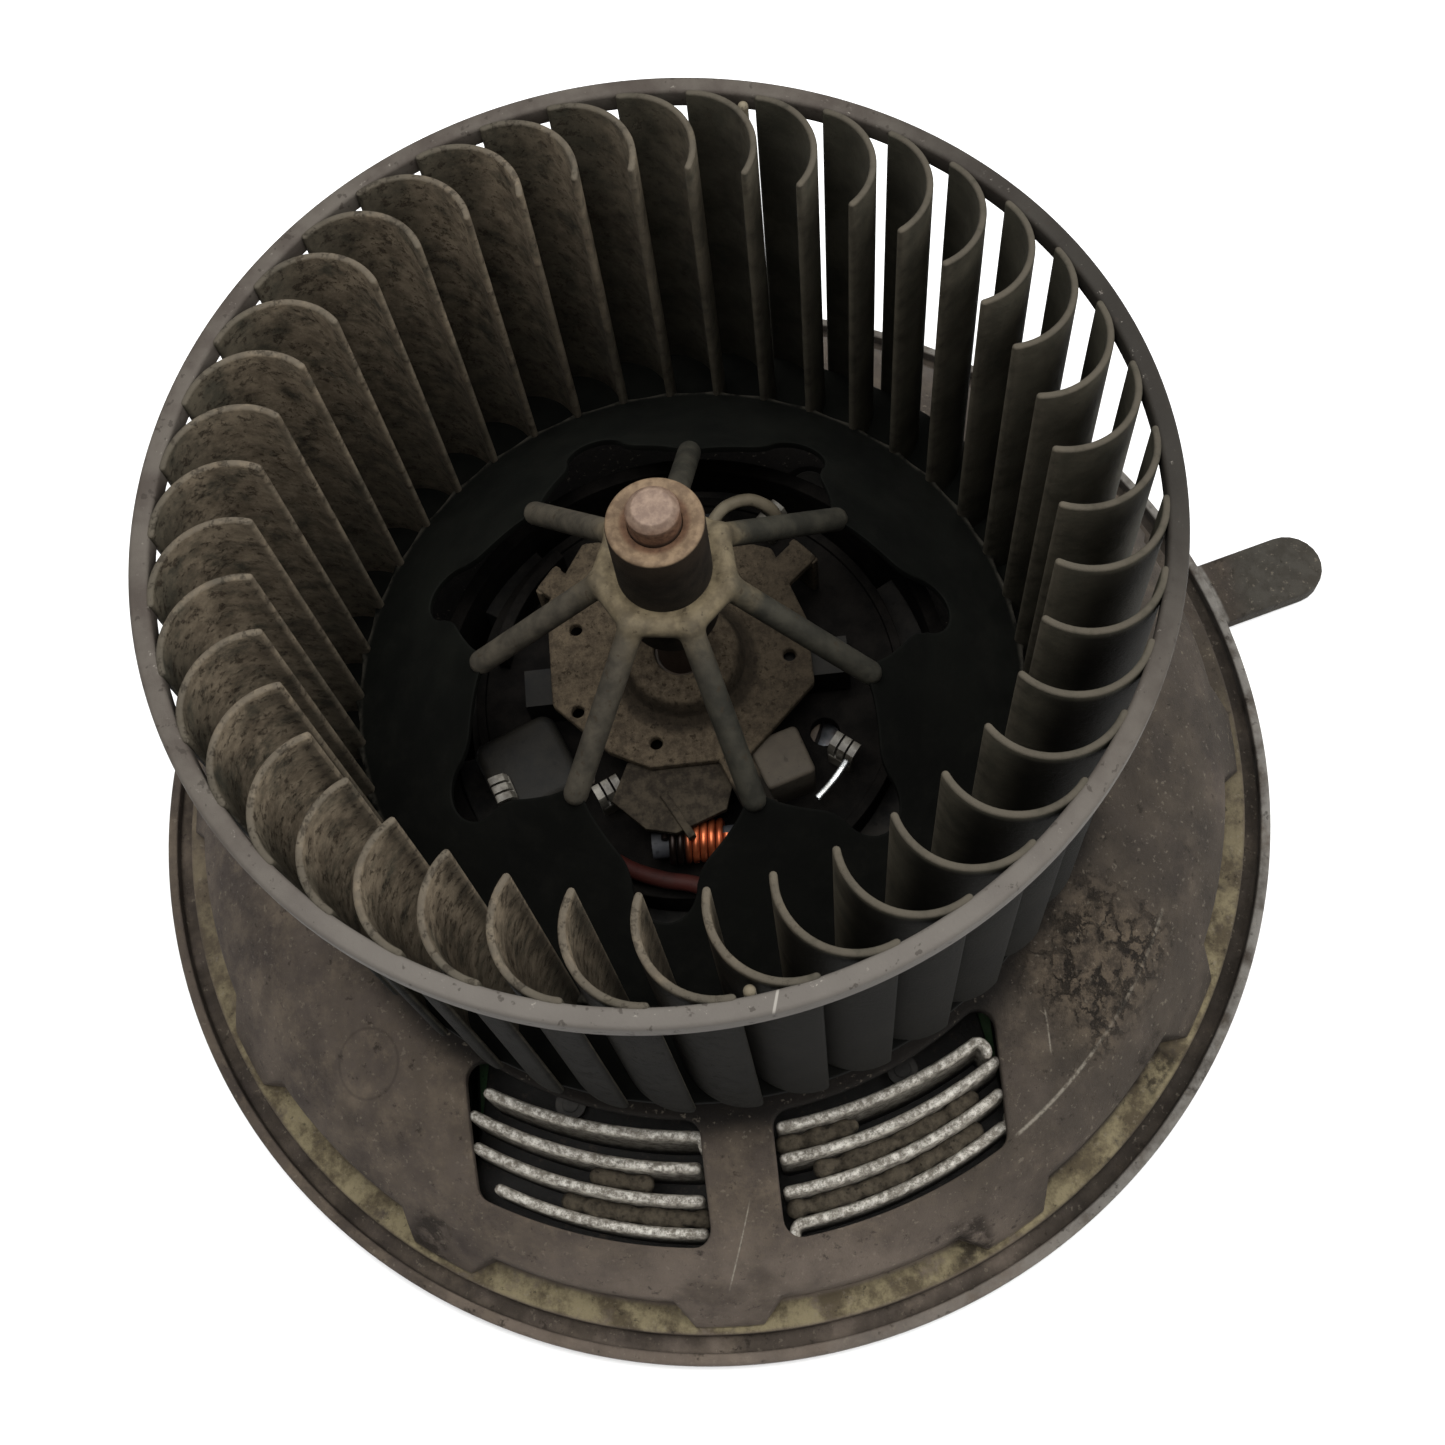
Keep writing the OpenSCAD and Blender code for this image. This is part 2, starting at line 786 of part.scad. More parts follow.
module heat_sink() {
    color("#b7b7b2")
        difference() {
            union() {
                translate([0, 0, base_z]) linear_extrude(fin_low - base_z) regulator_outline(0);
                intersection() {
                    for (side = [-1, 1], k = [0:fin_count - 1]) fin(k, side);
                    rotate_extrude($fn = 128)
                        polygon(concat([[60, 0]], [for (r = steps(60, 94, 12)) [r, dome_top(r) - 1.2]],
                            [[94, 0]]));
                }
            }
            for (s = [-1, 1]) translate([s * 30, -63, 0]) cylinder(r = 1.6, h = 20, $fn = 24);
        }
}

module heat_sink_screws() {
    color("#9c9fa1")
        for (s = [-1, 1])
            translate([s * 30, -63, 0]) {
                translate([0, 0, 7.2]) cylinder(r = 1.5, h = 7, $fn = 24);
                translate([0, 0, fin_low + 0.03]) cylinder(r = 2.8, h = 2, $fn = 32);
            }
}

module regulator_board() {
    color("#3f5a3a")
        translate([0, 0, board_z])
            difference() {
                linear_extrude(board_t) {
                    regulator_outline(-1.5);
                    translate([-12, -68]) square([24, 8]);
                }
                for (s = [-1, 1]) translate([s * 30, -63, -1]) cylinder(r = 3, h = 5, $fn = 24);
            }
}

module power_transistors() {
    color("#1f1f20")
        for (s = [-1, 1])
            translate([s * 18 - 7, -84, board_z + board_t + 0.02])
                cube([14, 10, base_z - board_z - board_t - 0.05]);
}

module regulator_case() {
    color("#3a3836")
        difference() {
            translate([0, 0, case_z])
                linear_extrude(base_z - case_z - 0.03)
                    union() {
                        regulator_outline(1.6);
                        translate([-14, -68]) square([28, 10]);
                    }
            translate([0, 0, case_z + case_t])
                linear_extrude(20)
                    union() {
                        regulator_outline(-0.2);
                        translate([-12.4, -70]) square([24.8, 10.4]);
                    }
        }
}

module connector_socket() {
    color("#35332f")
        translate([socket_at[0], socket_at[1], 0])
            rotate(12)
                difference() {
                    translate([0, 0, 0.6]) round_plate(15, 26, 2, 17);
                    translate([0, 0, -1]) round_plate(11, 22, 1.5, 14);
                    for (i = [-1.5:1:1.5]) translate([0, i * 5, 0]) cylinder(r = 0.9, h = 30, $fn = 24);
                }
}

module connector_pins() {
    color("#c2a45a")
        translate([socket_at[0], socket_at[1], 0])
            rotate(12)
                for (i = [-1.5:1:1.5]) translate([0, i * 5, 4]) cylinder(r = 0.85, h = 15, $fn = 24);
}

module holder_screws() {
    color("#8e9092")
        for (a = ear_angles)
            rotate(a)
                translate([ear_r + 0.6, 0, 0]) {
                    translate([0, 0, deck_z - 8]) cylinder(r = 1.7, h = 11, $fn = 24);
                    translate([0, 0, deck_z + 2.5]) cylinder(r = 3.6, h = 2.2, $fn = 32);
                }
}

module bottom_cover() {
    color("#3a3836")
        difference() {
            union() {
                translate([0, 0, 0]) cylinder(r = holder_r - 0.4, h = holder_low - 0.03, $fn = 128);
                tube(32.8, 31, 0.5, 3.8);
            }
            for (k = [0:5])
                rotate(k * 60) translate([20, 0, -1]) round_plate(12, 5, 2.4, 6);
        }
}

wheel_top_ring();
wheel_blades();
wheel_back_disc();
wheel_spider();
wheel_hub();
balance_clips();
motor_shaft();
armature_core();
armature_windings();
commutator_sleeve();
commutator_bars();
thrust_washers();
flange();
motor_holder();
isolator_upper();
isolator_lower();
motor_can();
magnet_a();
magnet_b();
magnet_springs();
end_plate();
bearing_upper();
bearing_lower();
bearing_retainer_upper();
bearing_retainer_lower();
brush_card();
brush_box_a();
brush_box_b();
carbon_brush_a();
carbon_brush_b();
brush_spring_a();
brush_spring_b();
choke_coil_a();
choke_coil_b();
choke_core_a();
choke_core_b();
suppressor_block();
relay_box();
terminal_clips();
lead_red();
lead_cream();
lead_grommet();
heat_sink();
heat_sink_screws();
regulator_board();
power_transistors();
regulator_case();
connector_socket();
connector_pins();
holder_screws();
bottom_cover();
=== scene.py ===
import json
import math

import bmesh
import bpy
import numpy as np
from mathutils import Matrix, Vector
from mathutils.geometry import delaunay_2d_cdt


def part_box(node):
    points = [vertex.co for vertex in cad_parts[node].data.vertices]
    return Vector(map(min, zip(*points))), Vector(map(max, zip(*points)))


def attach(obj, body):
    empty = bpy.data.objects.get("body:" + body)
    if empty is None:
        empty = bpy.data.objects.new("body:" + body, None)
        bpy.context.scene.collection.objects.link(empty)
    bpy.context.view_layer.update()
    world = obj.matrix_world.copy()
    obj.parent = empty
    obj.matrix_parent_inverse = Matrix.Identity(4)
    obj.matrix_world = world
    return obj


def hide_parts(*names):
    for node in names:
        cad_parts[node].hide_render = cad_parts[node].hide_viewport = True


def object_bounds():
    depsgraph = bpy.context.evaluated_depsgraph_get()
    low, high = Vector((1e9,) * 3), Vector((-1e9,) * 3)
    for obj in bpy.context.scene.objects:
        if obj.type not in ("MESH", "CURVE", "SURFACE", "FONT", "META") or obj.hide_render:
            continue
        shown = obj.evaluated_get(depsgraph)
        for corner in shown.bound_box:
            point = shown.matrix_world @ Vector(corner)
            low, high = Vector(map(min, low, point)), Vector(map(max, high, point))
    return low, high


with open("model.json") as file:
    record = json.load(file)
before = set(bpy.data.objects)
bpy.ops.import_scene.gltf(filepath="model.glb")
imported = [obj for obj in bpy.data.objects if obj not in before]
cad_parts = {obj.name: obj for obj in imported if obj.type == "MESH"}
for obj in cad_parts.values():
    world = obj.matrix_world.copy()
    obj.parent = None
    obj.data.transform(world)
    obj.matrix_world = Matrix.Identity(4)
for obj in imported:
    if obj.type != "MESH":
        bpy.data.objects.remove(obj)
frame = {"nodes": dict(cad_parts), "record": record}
cad_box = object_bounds()
scene = bpy.context.scene
MM = 0.001
TAU = 2 * math.pi


def low(node):
    """Lowest corner of a CAD node, in millimetres."""
    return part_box(node)[0] / MM


def high(node):
    """Highest corner of a CAD node, in millimetres."""
    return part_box(node)[1] / MM


# ---------- driving sizes, in millimetres ----------

RING_R = high("wheel_top_ring").x
RING_TOP = high("wheel_top_ring").z
RING_LOW = low("wheel_top_ring").z
RING_IN = 72.0
DISC_R = 71.2
DISC_LOW = low("wheel_back_disc").z
DISC_Z = DISC_LOW + 2
DISC_SLOPE = 0.3735
DISC_BOW = 0.0113
DISC_STEP_R = 58.9
BLADES = 41
BLADE_STEP = 360 / BLADES
BLADE_PHASE = 0.26
BLADE_X = 60.5
BLADE_ARC = 10.5
BLADE_HALF = 0.55
BLADE_FROM = 254.1
SPOKES = 7
SPOKE_STEP = 360 / SPOKES
SPOKE_PHASE = 30
HUB_R = high("wheel_hub").x
HUB_TOP = high("wheel_hub").z
HUB_LOW = low("wheel_hub").z
SHAFT_R = 4.0
SHAFT_TOP = high("motor_shaft").z
HEPTAGON_R = 10.0
HEPTAGON_Z = 98.0
LIP_R = high("flange").y
DECK_Z = 31.0
DOME_C = 63.0
DOME_Z = -11.25
DOME_R = 43.1
DOME_T = 2.4
DOME_IN = 46.2
EDGE_R = 98.9
TONGUE_R = 102.9
TONGUES = 12
TONGUE_PHASE = -93
SHELF_R = 104.0
SHELF_Z = 4.6
GROOVE_R = 107.0
GROOVE_Z = 1.2
LIP_Z = 4.0
TAB_ANGLE = 14.5
TAB_W = 13.6
TAB_TIP = 132.5
TAB_T = 3.5
WIN_X = (6.2, 46.0)
WIN_R = (71.0, 91.0)
WIN_CORNER = 3.0
PLATE_Z = 60.0
PLATE_T = 1.6
CARD_Z = low("relay_box").z


def disc_top(r):
    """Height of the back disc's cone at a radius."""
    d = max(0.0, DISC_R - r)
    return DISC_Z + DISC_SLOPE * d + DISC_BOW * d * d


def dome_top(r):
    """Height of the flange's upper surface at a radius."""
    if r <= 71.5:
        return DECK_Z
    return DOME_Z + math.sqrt(DOME_R**2 - (r - DOME_C) ** 2)


def polar(r, degrees):
    a = math.radians(degrees)
    return r * math.cos(a), r * math.sin(a)


# ---------- mesh helpers, in millimetres ----------


def piece(name, mesh_data, body, slot, material, *nodes, sharp=40):
    """Makes a mesh object that rides on a body and stands for CAD nodes."""
    verts, faces = mesh_data
    mesh = bpy.data.meshes.new(name)
    mesh.from_pydata([Vector(v) * MM for v in verts], [], faces)
    work = bmesh.new()
    work.from_mesh(mesh)
    bmesh.ops.remove_doubles(work, verts=work.verts, dist=1e-7)
    bmesh.ops.dissolve_degenerate(work, edges=work.edges, dist=1e-8)
    bmesh.ops.recalc_face_normals(work, faces=work.faces)
    work.to_mesh(mesh)
    work.free()
    mesh.shade_smooth()
    mesh.set_sharp_from_angle(angle=math.radians(sharp))
    obj = bpy.data.objects.new(name, mesh)
    scene.collection.objects.link(obj)
    mesh.materials.append(material)
    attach(obj, body)
    if nodes:
        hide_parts(*nodes)
    return obj


def joined(*parts):
    """One mesh from several (verts, faces) pairs."""
    verts, faces = [], []
    for part_verts, part_faces in parts:
        start = len(verts)
        verts += list(part_verts)
        faces += [tuple(i + start for i in f) for f in part_faces]
    return verts, faces


def moved(part, place, turn=0.0):
    """The part turned about Z by degrees, then moved."""
    spin = Matrix.Rotation(math.radians(turn), 3, "Z")
    verts, faces = part
    return [spin @ Vector(v) + Vector(place) for v in verts], faces


def rounded(points, radius, steps=4):
    """Closed outline with each corner turned into an arc; a point may carry its own radius."""
    out = []
    n = len(points)
    for i, p in enumerate(points):
        r = p[2] if len(p) > 2 else radius
        here = Vector(p[:2])
        back = (Vector(points[i - 1][:2]) - here).normalized()
        ahead = (Vector(points[(i + 1) % n][:2]) - here).normalized()
        half = math.acos(max(-1, min(1, back.dot(ahead)))) / 2
        if r <= 0 or half > math.radians(88):
            out.append(here)
            continue
        reach = r / math.tan(half)
        centre = here + (back + ahead).normalized() * (r / math.sin(half))
        a = here + back * reach - centre
        b = here + ahead * reach - centre
        sweep = a.angle_signed(b)
        for k in range(steps + 1):
            t = -sweep * k / steps
            out.append(centre + Matrix.Rotation(t, 2) @ a)
    return [(p.x, p.y) for p in out]


def lathe(profile, segments=192, start=0.0, sweep=360.0):
    """Closed (r, z) profile turned about Z."""
    whole = sweep >= 360
    count = segments if whole else segments + 1
    n = len(profile)
    verts = []
    for i in range(count):
        c, s = polar(1, start + sweep * i / segments)
        verts += [(r * c, r * s, z) for r, z in profile]
    faces = []
    for i in range(segments):
        a, b = i * n, ((i + 1) % count) * n
        faces += [(a + j, b + j, b + (j + 1) % n, a + (j + 1) % n) for j in range(n)]
    if not whole:
        faces += [tuple(range(n)), tuple(range((count - 1) * n, count * n))]
    return verts, faces


def stack(loops):
    """Solid through closed loops of the same length, capped at both ends."""
    n = len(loops[0])
    verts = [v for loop in loops for v in loop]
    faces = []
    for k in range(len(loops) - 1):
        a, b = k * n, (k + 1) * n
        faces += [(a + j, a + (j + 1) % n, b + (j + 1) % n, b + j) for j in range(n)]
    return verts, faces + [tuple(range(n)), tuple(range(len(verts) - n, len(verts)))]


def capsule(path, half, cap=5):
    """Outline of a strip round an open path, with round ends."""
    pts = [Vector(p) for p in path]
    sides = []
    for i, p in enumerate(pts):
        d = (pts[min(i + 1, len(pts) - 1)] - pts[max(i - 1, 0)]).normalized()
        sides.append(Vector((-d.y, d.x)))
    left = [p + s * half for p, s in zip(pts, sides)]
    right = [p - s * half for p, s in zip(pts, sides)]

    def end(centre, side, turn):
        steps = [turn * math.pi * k / cap for k in range(1, cap)]
        return [centre + Matrix.Rotation(t, 2) @ (side * half) for t in steps]

    return left + end(pts[-1], sides[-1], -1) + right[::-1] + end(pts[0], -sides[0], -1)


def wall(path, half, bottom, top, edge=0.35, draft=0.0):
    """Upright strip along a path with a rounded top; bottom may be a function of (x, y)."""
    def at(spread, z):
        return [(p.x, p.y, z(p) if callable(z) else z) for p in capsule(path, spread)]
    loops = [at(half + draft, bottom), at(half, top - edge)]
    for k in (1, 2, 3):
        a = math.pi / 2 * k / 3
        loops.append(at(half - edge * (1 - math.cos(a)), top - edge * (1 - math.sin(a))))
    return stack(loops)


def sweep(path, radius, sides=12):
    """Round tube along a path of 3-D points."""
    pts = [Vector(p) for p in path]
    n = len(pts)
    verts, side = [], None
    for i, p in enumerate(pts):
        ahead = pts[i + 1] if i < n - 1 else p
        behind = pts[i - 1] if i > 0 else p
        d = (ahead - behind).normalized()
        if side is None:
            side = d.orthogonal().normalized()
        side = (side - d * side.dot(d)).normalized()
        up = d.cross(side)
        for k in range(sides):
            a = TAU * k / sides
            verts.append(p + (side * math.cos(a) + up * math.sin(a)) * radius)
    faces = []
    for i in range(n - 1):
        a, b = i * sides, (i + 1) * sides
        faces += [(a + k, a + (k + 1) % sides, b + (k + 1) % sides, b + k) for k in range(sides)]
    faces += [tuple(range(sides)), tuple(range((n - 1) * sides, n * sides))]
    return verts, faces


def smooth_path(points, steps=6):
    """Catmull-Rom curve through the points."""
    pts = [Vector(p) for p in points]
    pts = [2 * pts[0] - pts[1]] + pts + [2 * pts[-1] - pts[-2]]
    out = []
    for a, b, c, d in zip(pts, pts[1:], pts[2:], pts[3:]):
        for k in range(steps):
            t = k / steps
            out.append(0.5 * (2 * b + (c - a) * t + (2 * a - 5 * b + 4 * c - d) * t * t
                              + (3 * b - a - 3 * c + d) * t**3))
    return out + [pts[-2]]


def ball(centre, radius, rows=10, columns=16):
    loops = []
    for i in range(1, rows):
        a = math.pi * i / rows
        loops.append([Vector(centre) + Vector((radius * math.sin(a) * math.cos(TAU * k / columns),
                      radius * math.sin(a) * math.sin(TAU * k / columns), -radius * math.cos(a)))
                      for k in range(columns)])
    return stack(loops)


def evenly(loop, spacing):
    """The closed loop with its long stretches split up."""
    out = []
    for a, b in zip(loop, list(loop[1:]) + [loop[0]]):
        a, b = Vector(a[:2]), Vector(b[:2])
        n = max(1, round((b - a).length / spacing))
        out += [a.lerp(b, k / n) for k in range(n)]
    return out


def inset(loop, distance):
    """The closed loop moved to its left by a distance."""
    n = len(loop)
    out = []
    for i, p in enumerate(loop):
        d = (loop[(i + 1) % n] - loop[i - 1]).normalized()
        out.append(p + Vector((-d.y, d.x)) * distance)
    return out


def area(loop):
    return sum(a[0] * b[1] - b[0] * a[1] for a, b in zip(loop, list(loop[1:]) + [loop[0]])) / 2


def inside(points, loops):
    """Even-odd test of many points against closed loops."""
    x, y = points[:, 0:1], points[:, 1:2]
    odd = np.zeros(len(points), bool)
    for loop in loops:
        a = np.array([tuple(p) for p in loop])
        b = np.roll(a, -1, 0)
        crosses = (a[:, 1] > y) != (b[:, 1] > y)
        rise = np.where(b[:, 1] == a[:, 1], 1e-12, b[:, 1] - a[:, 1])
        at = (b[:, 0] - a[:, 0]) * (y - a[:, 1]) / rise + a[:, 0]
        odd ^= (crosses & (x < at)).sum(1) % 2 == 1
    return odd


def sheet(outer, holes, top, bottom, edge=0.4, grid=3.0, spacing=1.2, guides=()):
    """Plate between two height functions of (x, y), with rounded upper edges all round its outlines."""
    loops = []
    for i, loop in enumerate([outer, *holes]):
        loop = evenly(loop, spacing)
        if (area(loop) > 0) != (i == 0):
            loop.reverse()
        loops.append(loop)
    depths = [edge * (1 - math.cos(math.pi / 2 * k / 3)) for k in range(4)]
    spots, drops, chains = [], [], []
    for loop in loops:
        for depth in depths:
            ring = inset(loop, depth)
            chains.append(range(len(spots), len(spots) + len(ring)))
            spots += ring
            drops += [edge - math.sqrt(max(0, edge**2 - (edge - depth) ** 2))] * len(ring)
    for guide in guides:
        spots += [Vector(p[:2]) for p in guide]
        drops += [0] * len(guide)
    rims = np.array([tuple(p) for p in spots])
    lo, hi = rims.min(0), rims.max(0)
    xs, ys = np.meshgrid(np.arange(lo[0], hi[0], grid), np.arange(lo[1], hi[1], grid * 0.87))
    xs[1::2] += grid / 2
    fill = np.stack([xs.ravel(), ys.ravel()], 1)
    fill = fill[inside(fill, loops)]
    clear = np.array([((rims - p) ** 2).sum(1).min() > (grid * 0.45) ** 2 for p in fill], bool)
    fill = fill[clear]
    spots += [Vector(p) for p in fill]
    drops += [0] * len(fill)
    edges = [(c[i], c[(i + 1) % len(c)]) for c in chains for i in range(len(c))]
    found, _, tris, origin, _, _ = delaunay_2d_cdt(spots, edges, [], 0, 1e-6)
    fall = [drops[o[0]] if o else 0 for o in origin]
    flat = np.array([tuple(p) for p in found])
    centres = np.array([flat[list(t)].mean(0) for t in tris])
    keep = [t for t, ok in zip(tris, inside(centres, loops)) if ok]
    n = len(found)
    verts = [(p.x, p.y, top(p.x, p.y) - f) for p, f in zip(found, fall)]
    verts += [(p.x, p.y, bottom(p.x, p.y)) for p in found]
    faces = [tuple(t) for t in keep] + [tuple(n + i for i in reversed(t)) for t in keep]
    count = {}
    for t in keep:
        for i in range(3):
            a, b = t[i], t[(i + 1) % 3]
            count[(a, b)] = count.get((a, b), 0) + 1
    faces += [(b, a, n + a, n + b) for a, b in count if (b, a) not in count]
    return verts, faces


def circle(r, spacing=1.2, centre=(0, 0)):
    n = max(12, round(TAU * r / spacing))
    return [(centre[0] + r * math.cos(TAU * k / n), centre[1] + r * math.sin(TAU * k / n)) for k in range(n)]


def block(x, y, z_low, z_high, corner=1.0, edge=0.4):
    """Upright block with rounded corners and upper edges, centred on the Z axis."""
    box = [(-x / 2, -y / 2), (x / 2, -y / 2), (x / 2, y / 2), (-x / 2, y / 2)]
    return sheet(rounded(box, corner), [], lambda *_: z_high, lambda *_: z_low, edge=edge, grid=4)


# ---------- material helpers ----------


def srgb(r, g, b):
    """Linear colour from 0 to 255 display values."""
    return tuple(((c / 255 + 0.055) / 1.055) ** 2.4 if c > 10 else c / 3294 for c in (r, g, b)) + (1.0,)


class Shade:
    """A material built up from node steps. Positions are in the object's own millimetres."""

    def __init__(self, name, roughness=0.6, metallic=0.0, specular=0.5):
        self.material = bpy.data.materials.new(name)
        self.material.use_nodes = True
        self.tree = self.material.node_tree
        self.shader = self.tree.nodes["Principled BSDF"]
        self.shader.inputs["Roughness"].default_value = roughness
        self.shader.inputs["Metallic"].default_value = metallic
        self.shader.inputs["Specular IOR Level"].default_value = specular
        scaled = self.add("ShaderNodeVectorMath", operation="SCALE")
        self.feed(self.add("ShaderNodeTexCoord").outputs["Object"], scaled.inputs[0])
        scaled.inputs["Scale"].default_value = 1 / MM
        self.place = scaled.outputs[0]
        split = self.add("ShaderNodeSeparateXYZ")
        self.feed(self.place, split.inputs[0])
        self.x, self.y, self.z = split.outputs
        self.radius = self.math("SQRT", self.math("ADD", self.math("MULTIPLY", self.x, self.x),
                                                  self.math("MULTIPLY", self.y, self.y)))
        self.angle = self.math("MULTIPLY", self.math("ARCTAN2", self.y, self.x), 360 / TAU)

    def add(self, kind, **settings):
        node = self.tree.nodes.new(kind)
        for key, value in settings.items():
            setattr(node, key, value)
        return node

    def feed(self, value, socket):
        if isinstance(value, bpy.types.NodeSocket):
            self.tree.links.new(value, socket)
        else:
            socket.default_value = value

    def math(self, operation, a, b=0.0):
        node = self.add("ShaderNodeMath", operation=operation)
        self.feed(a, node.inputs[0])
        self.feed(b, node.inputs[1])
        return node.outputs[0]

    def times(self, *values):
        out = values[0]
        for v in values[1:]:
            out = self.math("MULTIPLY", out, v)
        return out

    def noise(self, size, detail=4.0, rough=0.6, seed=0.0):
        """Noise whose lumps are about size millimetres wide."""
        node = self.add("ShaderNodeTexNoise", noise_dimensions="4D")
        node.inputs["Scale"].default_value = 1 / size
        node.inputs["Detail"].default_value = detail
        node.inputs["Roughness"].default_value = rough
        node.inputs["W"].default_value = seed
        self.feed(self.place, node.inputs["Vector"])
        return node.outputs["Fac"]

    def cracks(self, size):
        """Network of wandering thin lines, 1 on a line."""
        wander = self.add("ShaderNodeTexNoise")
        wander.inputs["Scale"].default_value = 1.4 / size
        wander.inputs["Detail"].default_value = 6
        wander.inputs["Roughness"].default_value = 0.7
        self.feed(self.place, wander.inputs["Vector"])
        shifted = self.add("ShaderNodeVectorMath", operation="MULTIPLY_ADD")
        self.feed(wander.outputs["Color"], shifted.inputs[0])
        shifted.inputs[1].default_value = (size * 1.6,) * 3
        self.feed(self.place, shifted.inputs[2])
        node = self.add("ShaderNodeTexVoronoi", feature="DISTANCE_TO_EDGE")
        node.inputs["Scale"].default_value = 1 / size
        self.feed(shifted.outputs[0], node.inputs["Vector"])
        return self.band(node.outputs["Distance"], 0.12, 0.0)

    def band(self, value, start, stop):
        """0 at start and 1 at stop, with a smooth step between."""
        node = self.add("ShaderNodeMapRange", interpolation_type="SMOOTHSTEP")
        flip = start > stop
        self.feed(value, node.inputs["Value"])
        node.inputs["From Min"].default_value = min(start, stop)
        node.inputs["From Max"].default_value = max(start, stop)
        node.inputs["To Min"].default_value = 1.0 if flip else 0.0
        node.inputs["To Max"].default_value = 0.0 if flip else 1.0
        return node.outputs["Result"]

    def zone(self, value, start, stop, soft):
        """1 between start and stop, 0 outside, with soft ends."""
        return self.times(self.band(value, start - soft, start + soft),
                          self.band(value, stop + soft, stop - soft))

    def mix(self, share, a, b):
        node = self.add("ShaderNodeMix", data_type="RGBA")
        self.feed(share, node.inputs[0])
        self.feed(a, node.inputs[6])
        self.feed(b, node.inputs[7])
        return node.outputs[2]

    def patches(self, start, stop, *noise):
        """0 to 1 in soft-edged patches of noise."""
        return self.band(self.noise(*noise), start, stop)

    def mottle(self, dark, light, *noise):
        """Two display colours blended in patches of noise."""
        return self.mix(self.patches(0.35, 0.65, *noise), srgb(*dark), srgb(*light))

    def up(self, start=0.2, stop=0.9):
        """1 on faces that look up."""
        split = self.add("ShaderNodeSeparateXYZ")
        self.feed(self.add("ShaderNodeNewGeometry").outputs["Normal"], split.inputs[0])
        return self.band(split.outputs[2], start, stop)

    def outward(self, start=-0.1, stop=0.4):
        """1 on faces that look away from the Z axis."""
        split = self.add("ShaderNodeSeparateXYZ")
        self.feed(self.add("ShaderNodeTexCoord").outputs["Normal"], split.inputs[0])
        along = self.math("ADD", self.times(split.outputs[0], self.x), self.times(split.outputs[1], self.y))
        return self.band(self.math("DIVIDE", along, self.radius), start, stop)

    def finish(self, colour, height=None, depth=0.1, edge=0.0):
        """Sets the colour, the fine relief and, for square-edged CAD pieces, softened edges."""
        self.feed(colour, self.shader.inputs["Base Color"])
        normal = None
        if edge:
            bevel = self.add("ShaderNodeBevel", samples=4)
            bevel.inputs["Radius"].default_value = edge * MM
            normal = bevel.outputs[0]
        if height is not None:
            bump = self.add("ShaderNodeBump")
            bump.inputs["Distance"].default_value = depth * MM
            self.feed(height, bump.inputs["Height"])
            if normal:
                self.feed(normal, bump.inputs["Normal"])
            normal = bump.outputs[0]
        if normal:
            self.feed(normal, self.shader.inputs["Normal"])
        return self.material


def dusty(name, dark, light, dust, cover=0.5, speck=0.5, roughness=0.62, depth=0.08, edge=0.0, lump=8):
    """Moulded plastic: mottled body, dust on faces that look up, dark specks."""
    s = Shade(name, roughness, specular=0.12)
    body = s.mottle(dark, light, lump)
    lay = s.times(s.up(), s.patches(0.35, 0.65, lump * 0.6, 8, 0.7, 3.0), cover)
    body = s.mix(lay, body, srgb(*dust))
    spots = s.times(s.patches(0.62, 0.68, 1.4, 3, 0.6, 9.0), speck)
    body = s.mix(spots, body, srgb(*[c * 0.35 for c in dark]))
    return s.finish(body, s.noise(0.7, 5, 0.7), depth, edge)


def metal(name, dark, light, roughness=0.4, stain=None, amount=0.4, edge=0.25, metallic=0.9):
    """Bare metal with patchy tarnish."""
    s = Shade(name, roughness, metallic)
    body = s.mottle(dark, light, 5, 6)
    if stain:
        body = s.mix(s.times(s.patches(0.45, 0.62, 2.5, 8, 0.7, 5.0), amount), body, srgb(*stain))
    return s.finish(body, s.noise(0.8, 4), 0.04, edge)


def ring_material():
    """Grey plastic, with painted light at the front, painted shade at the right front, and worn specks along its
    inner edge.
    """
    s = Shade("ring_plastic", 0.7, specular=0.15)
    body = s.mottle((58, 52, 47), (74, 69, 63), 9)
    # painted light: the front of the ring lighter
    body = s.mix(s.times(s.band(s.y, -35, -70), 0.7), body, srgb(88, 84, 79))
    # painted shade: the right front of the ring darker
    body = s.mix(s.times(s.band(s.x, 25, 70), s.band(s.y, -50, -5), 0.85), body, srgb(24, 22, 18))
    inner = s.zone(s.radius, RING_IN, RING_IN + 1.6, 0.5)
    scuff = s.times(s.patches(0.6, 0.68, 1.5, 8, 0.8, 2.0), inner, s.up())
    body = s.mix(s.times(scuff, 0.6), body, srgb(160, 154, 144))
    slanted = s.math("ADD", s.angle, s.times(s.radius, 0.35))
    scratch = s.zone(slanted, -56.4, -56.1, 0.06)
    body = s.mix(s.times(scratch, s.up(), 0.45), body, srgb(160, 156, 148))
    body = s.mix(s.times(s.patches(0.62, 0.67, 1.2, 3, 0.5, 8.0), 0.6), body, srgb(40, 35, 30))
    return s.finish(body, s.noise(0.6, 6, 0.7), 0.09)


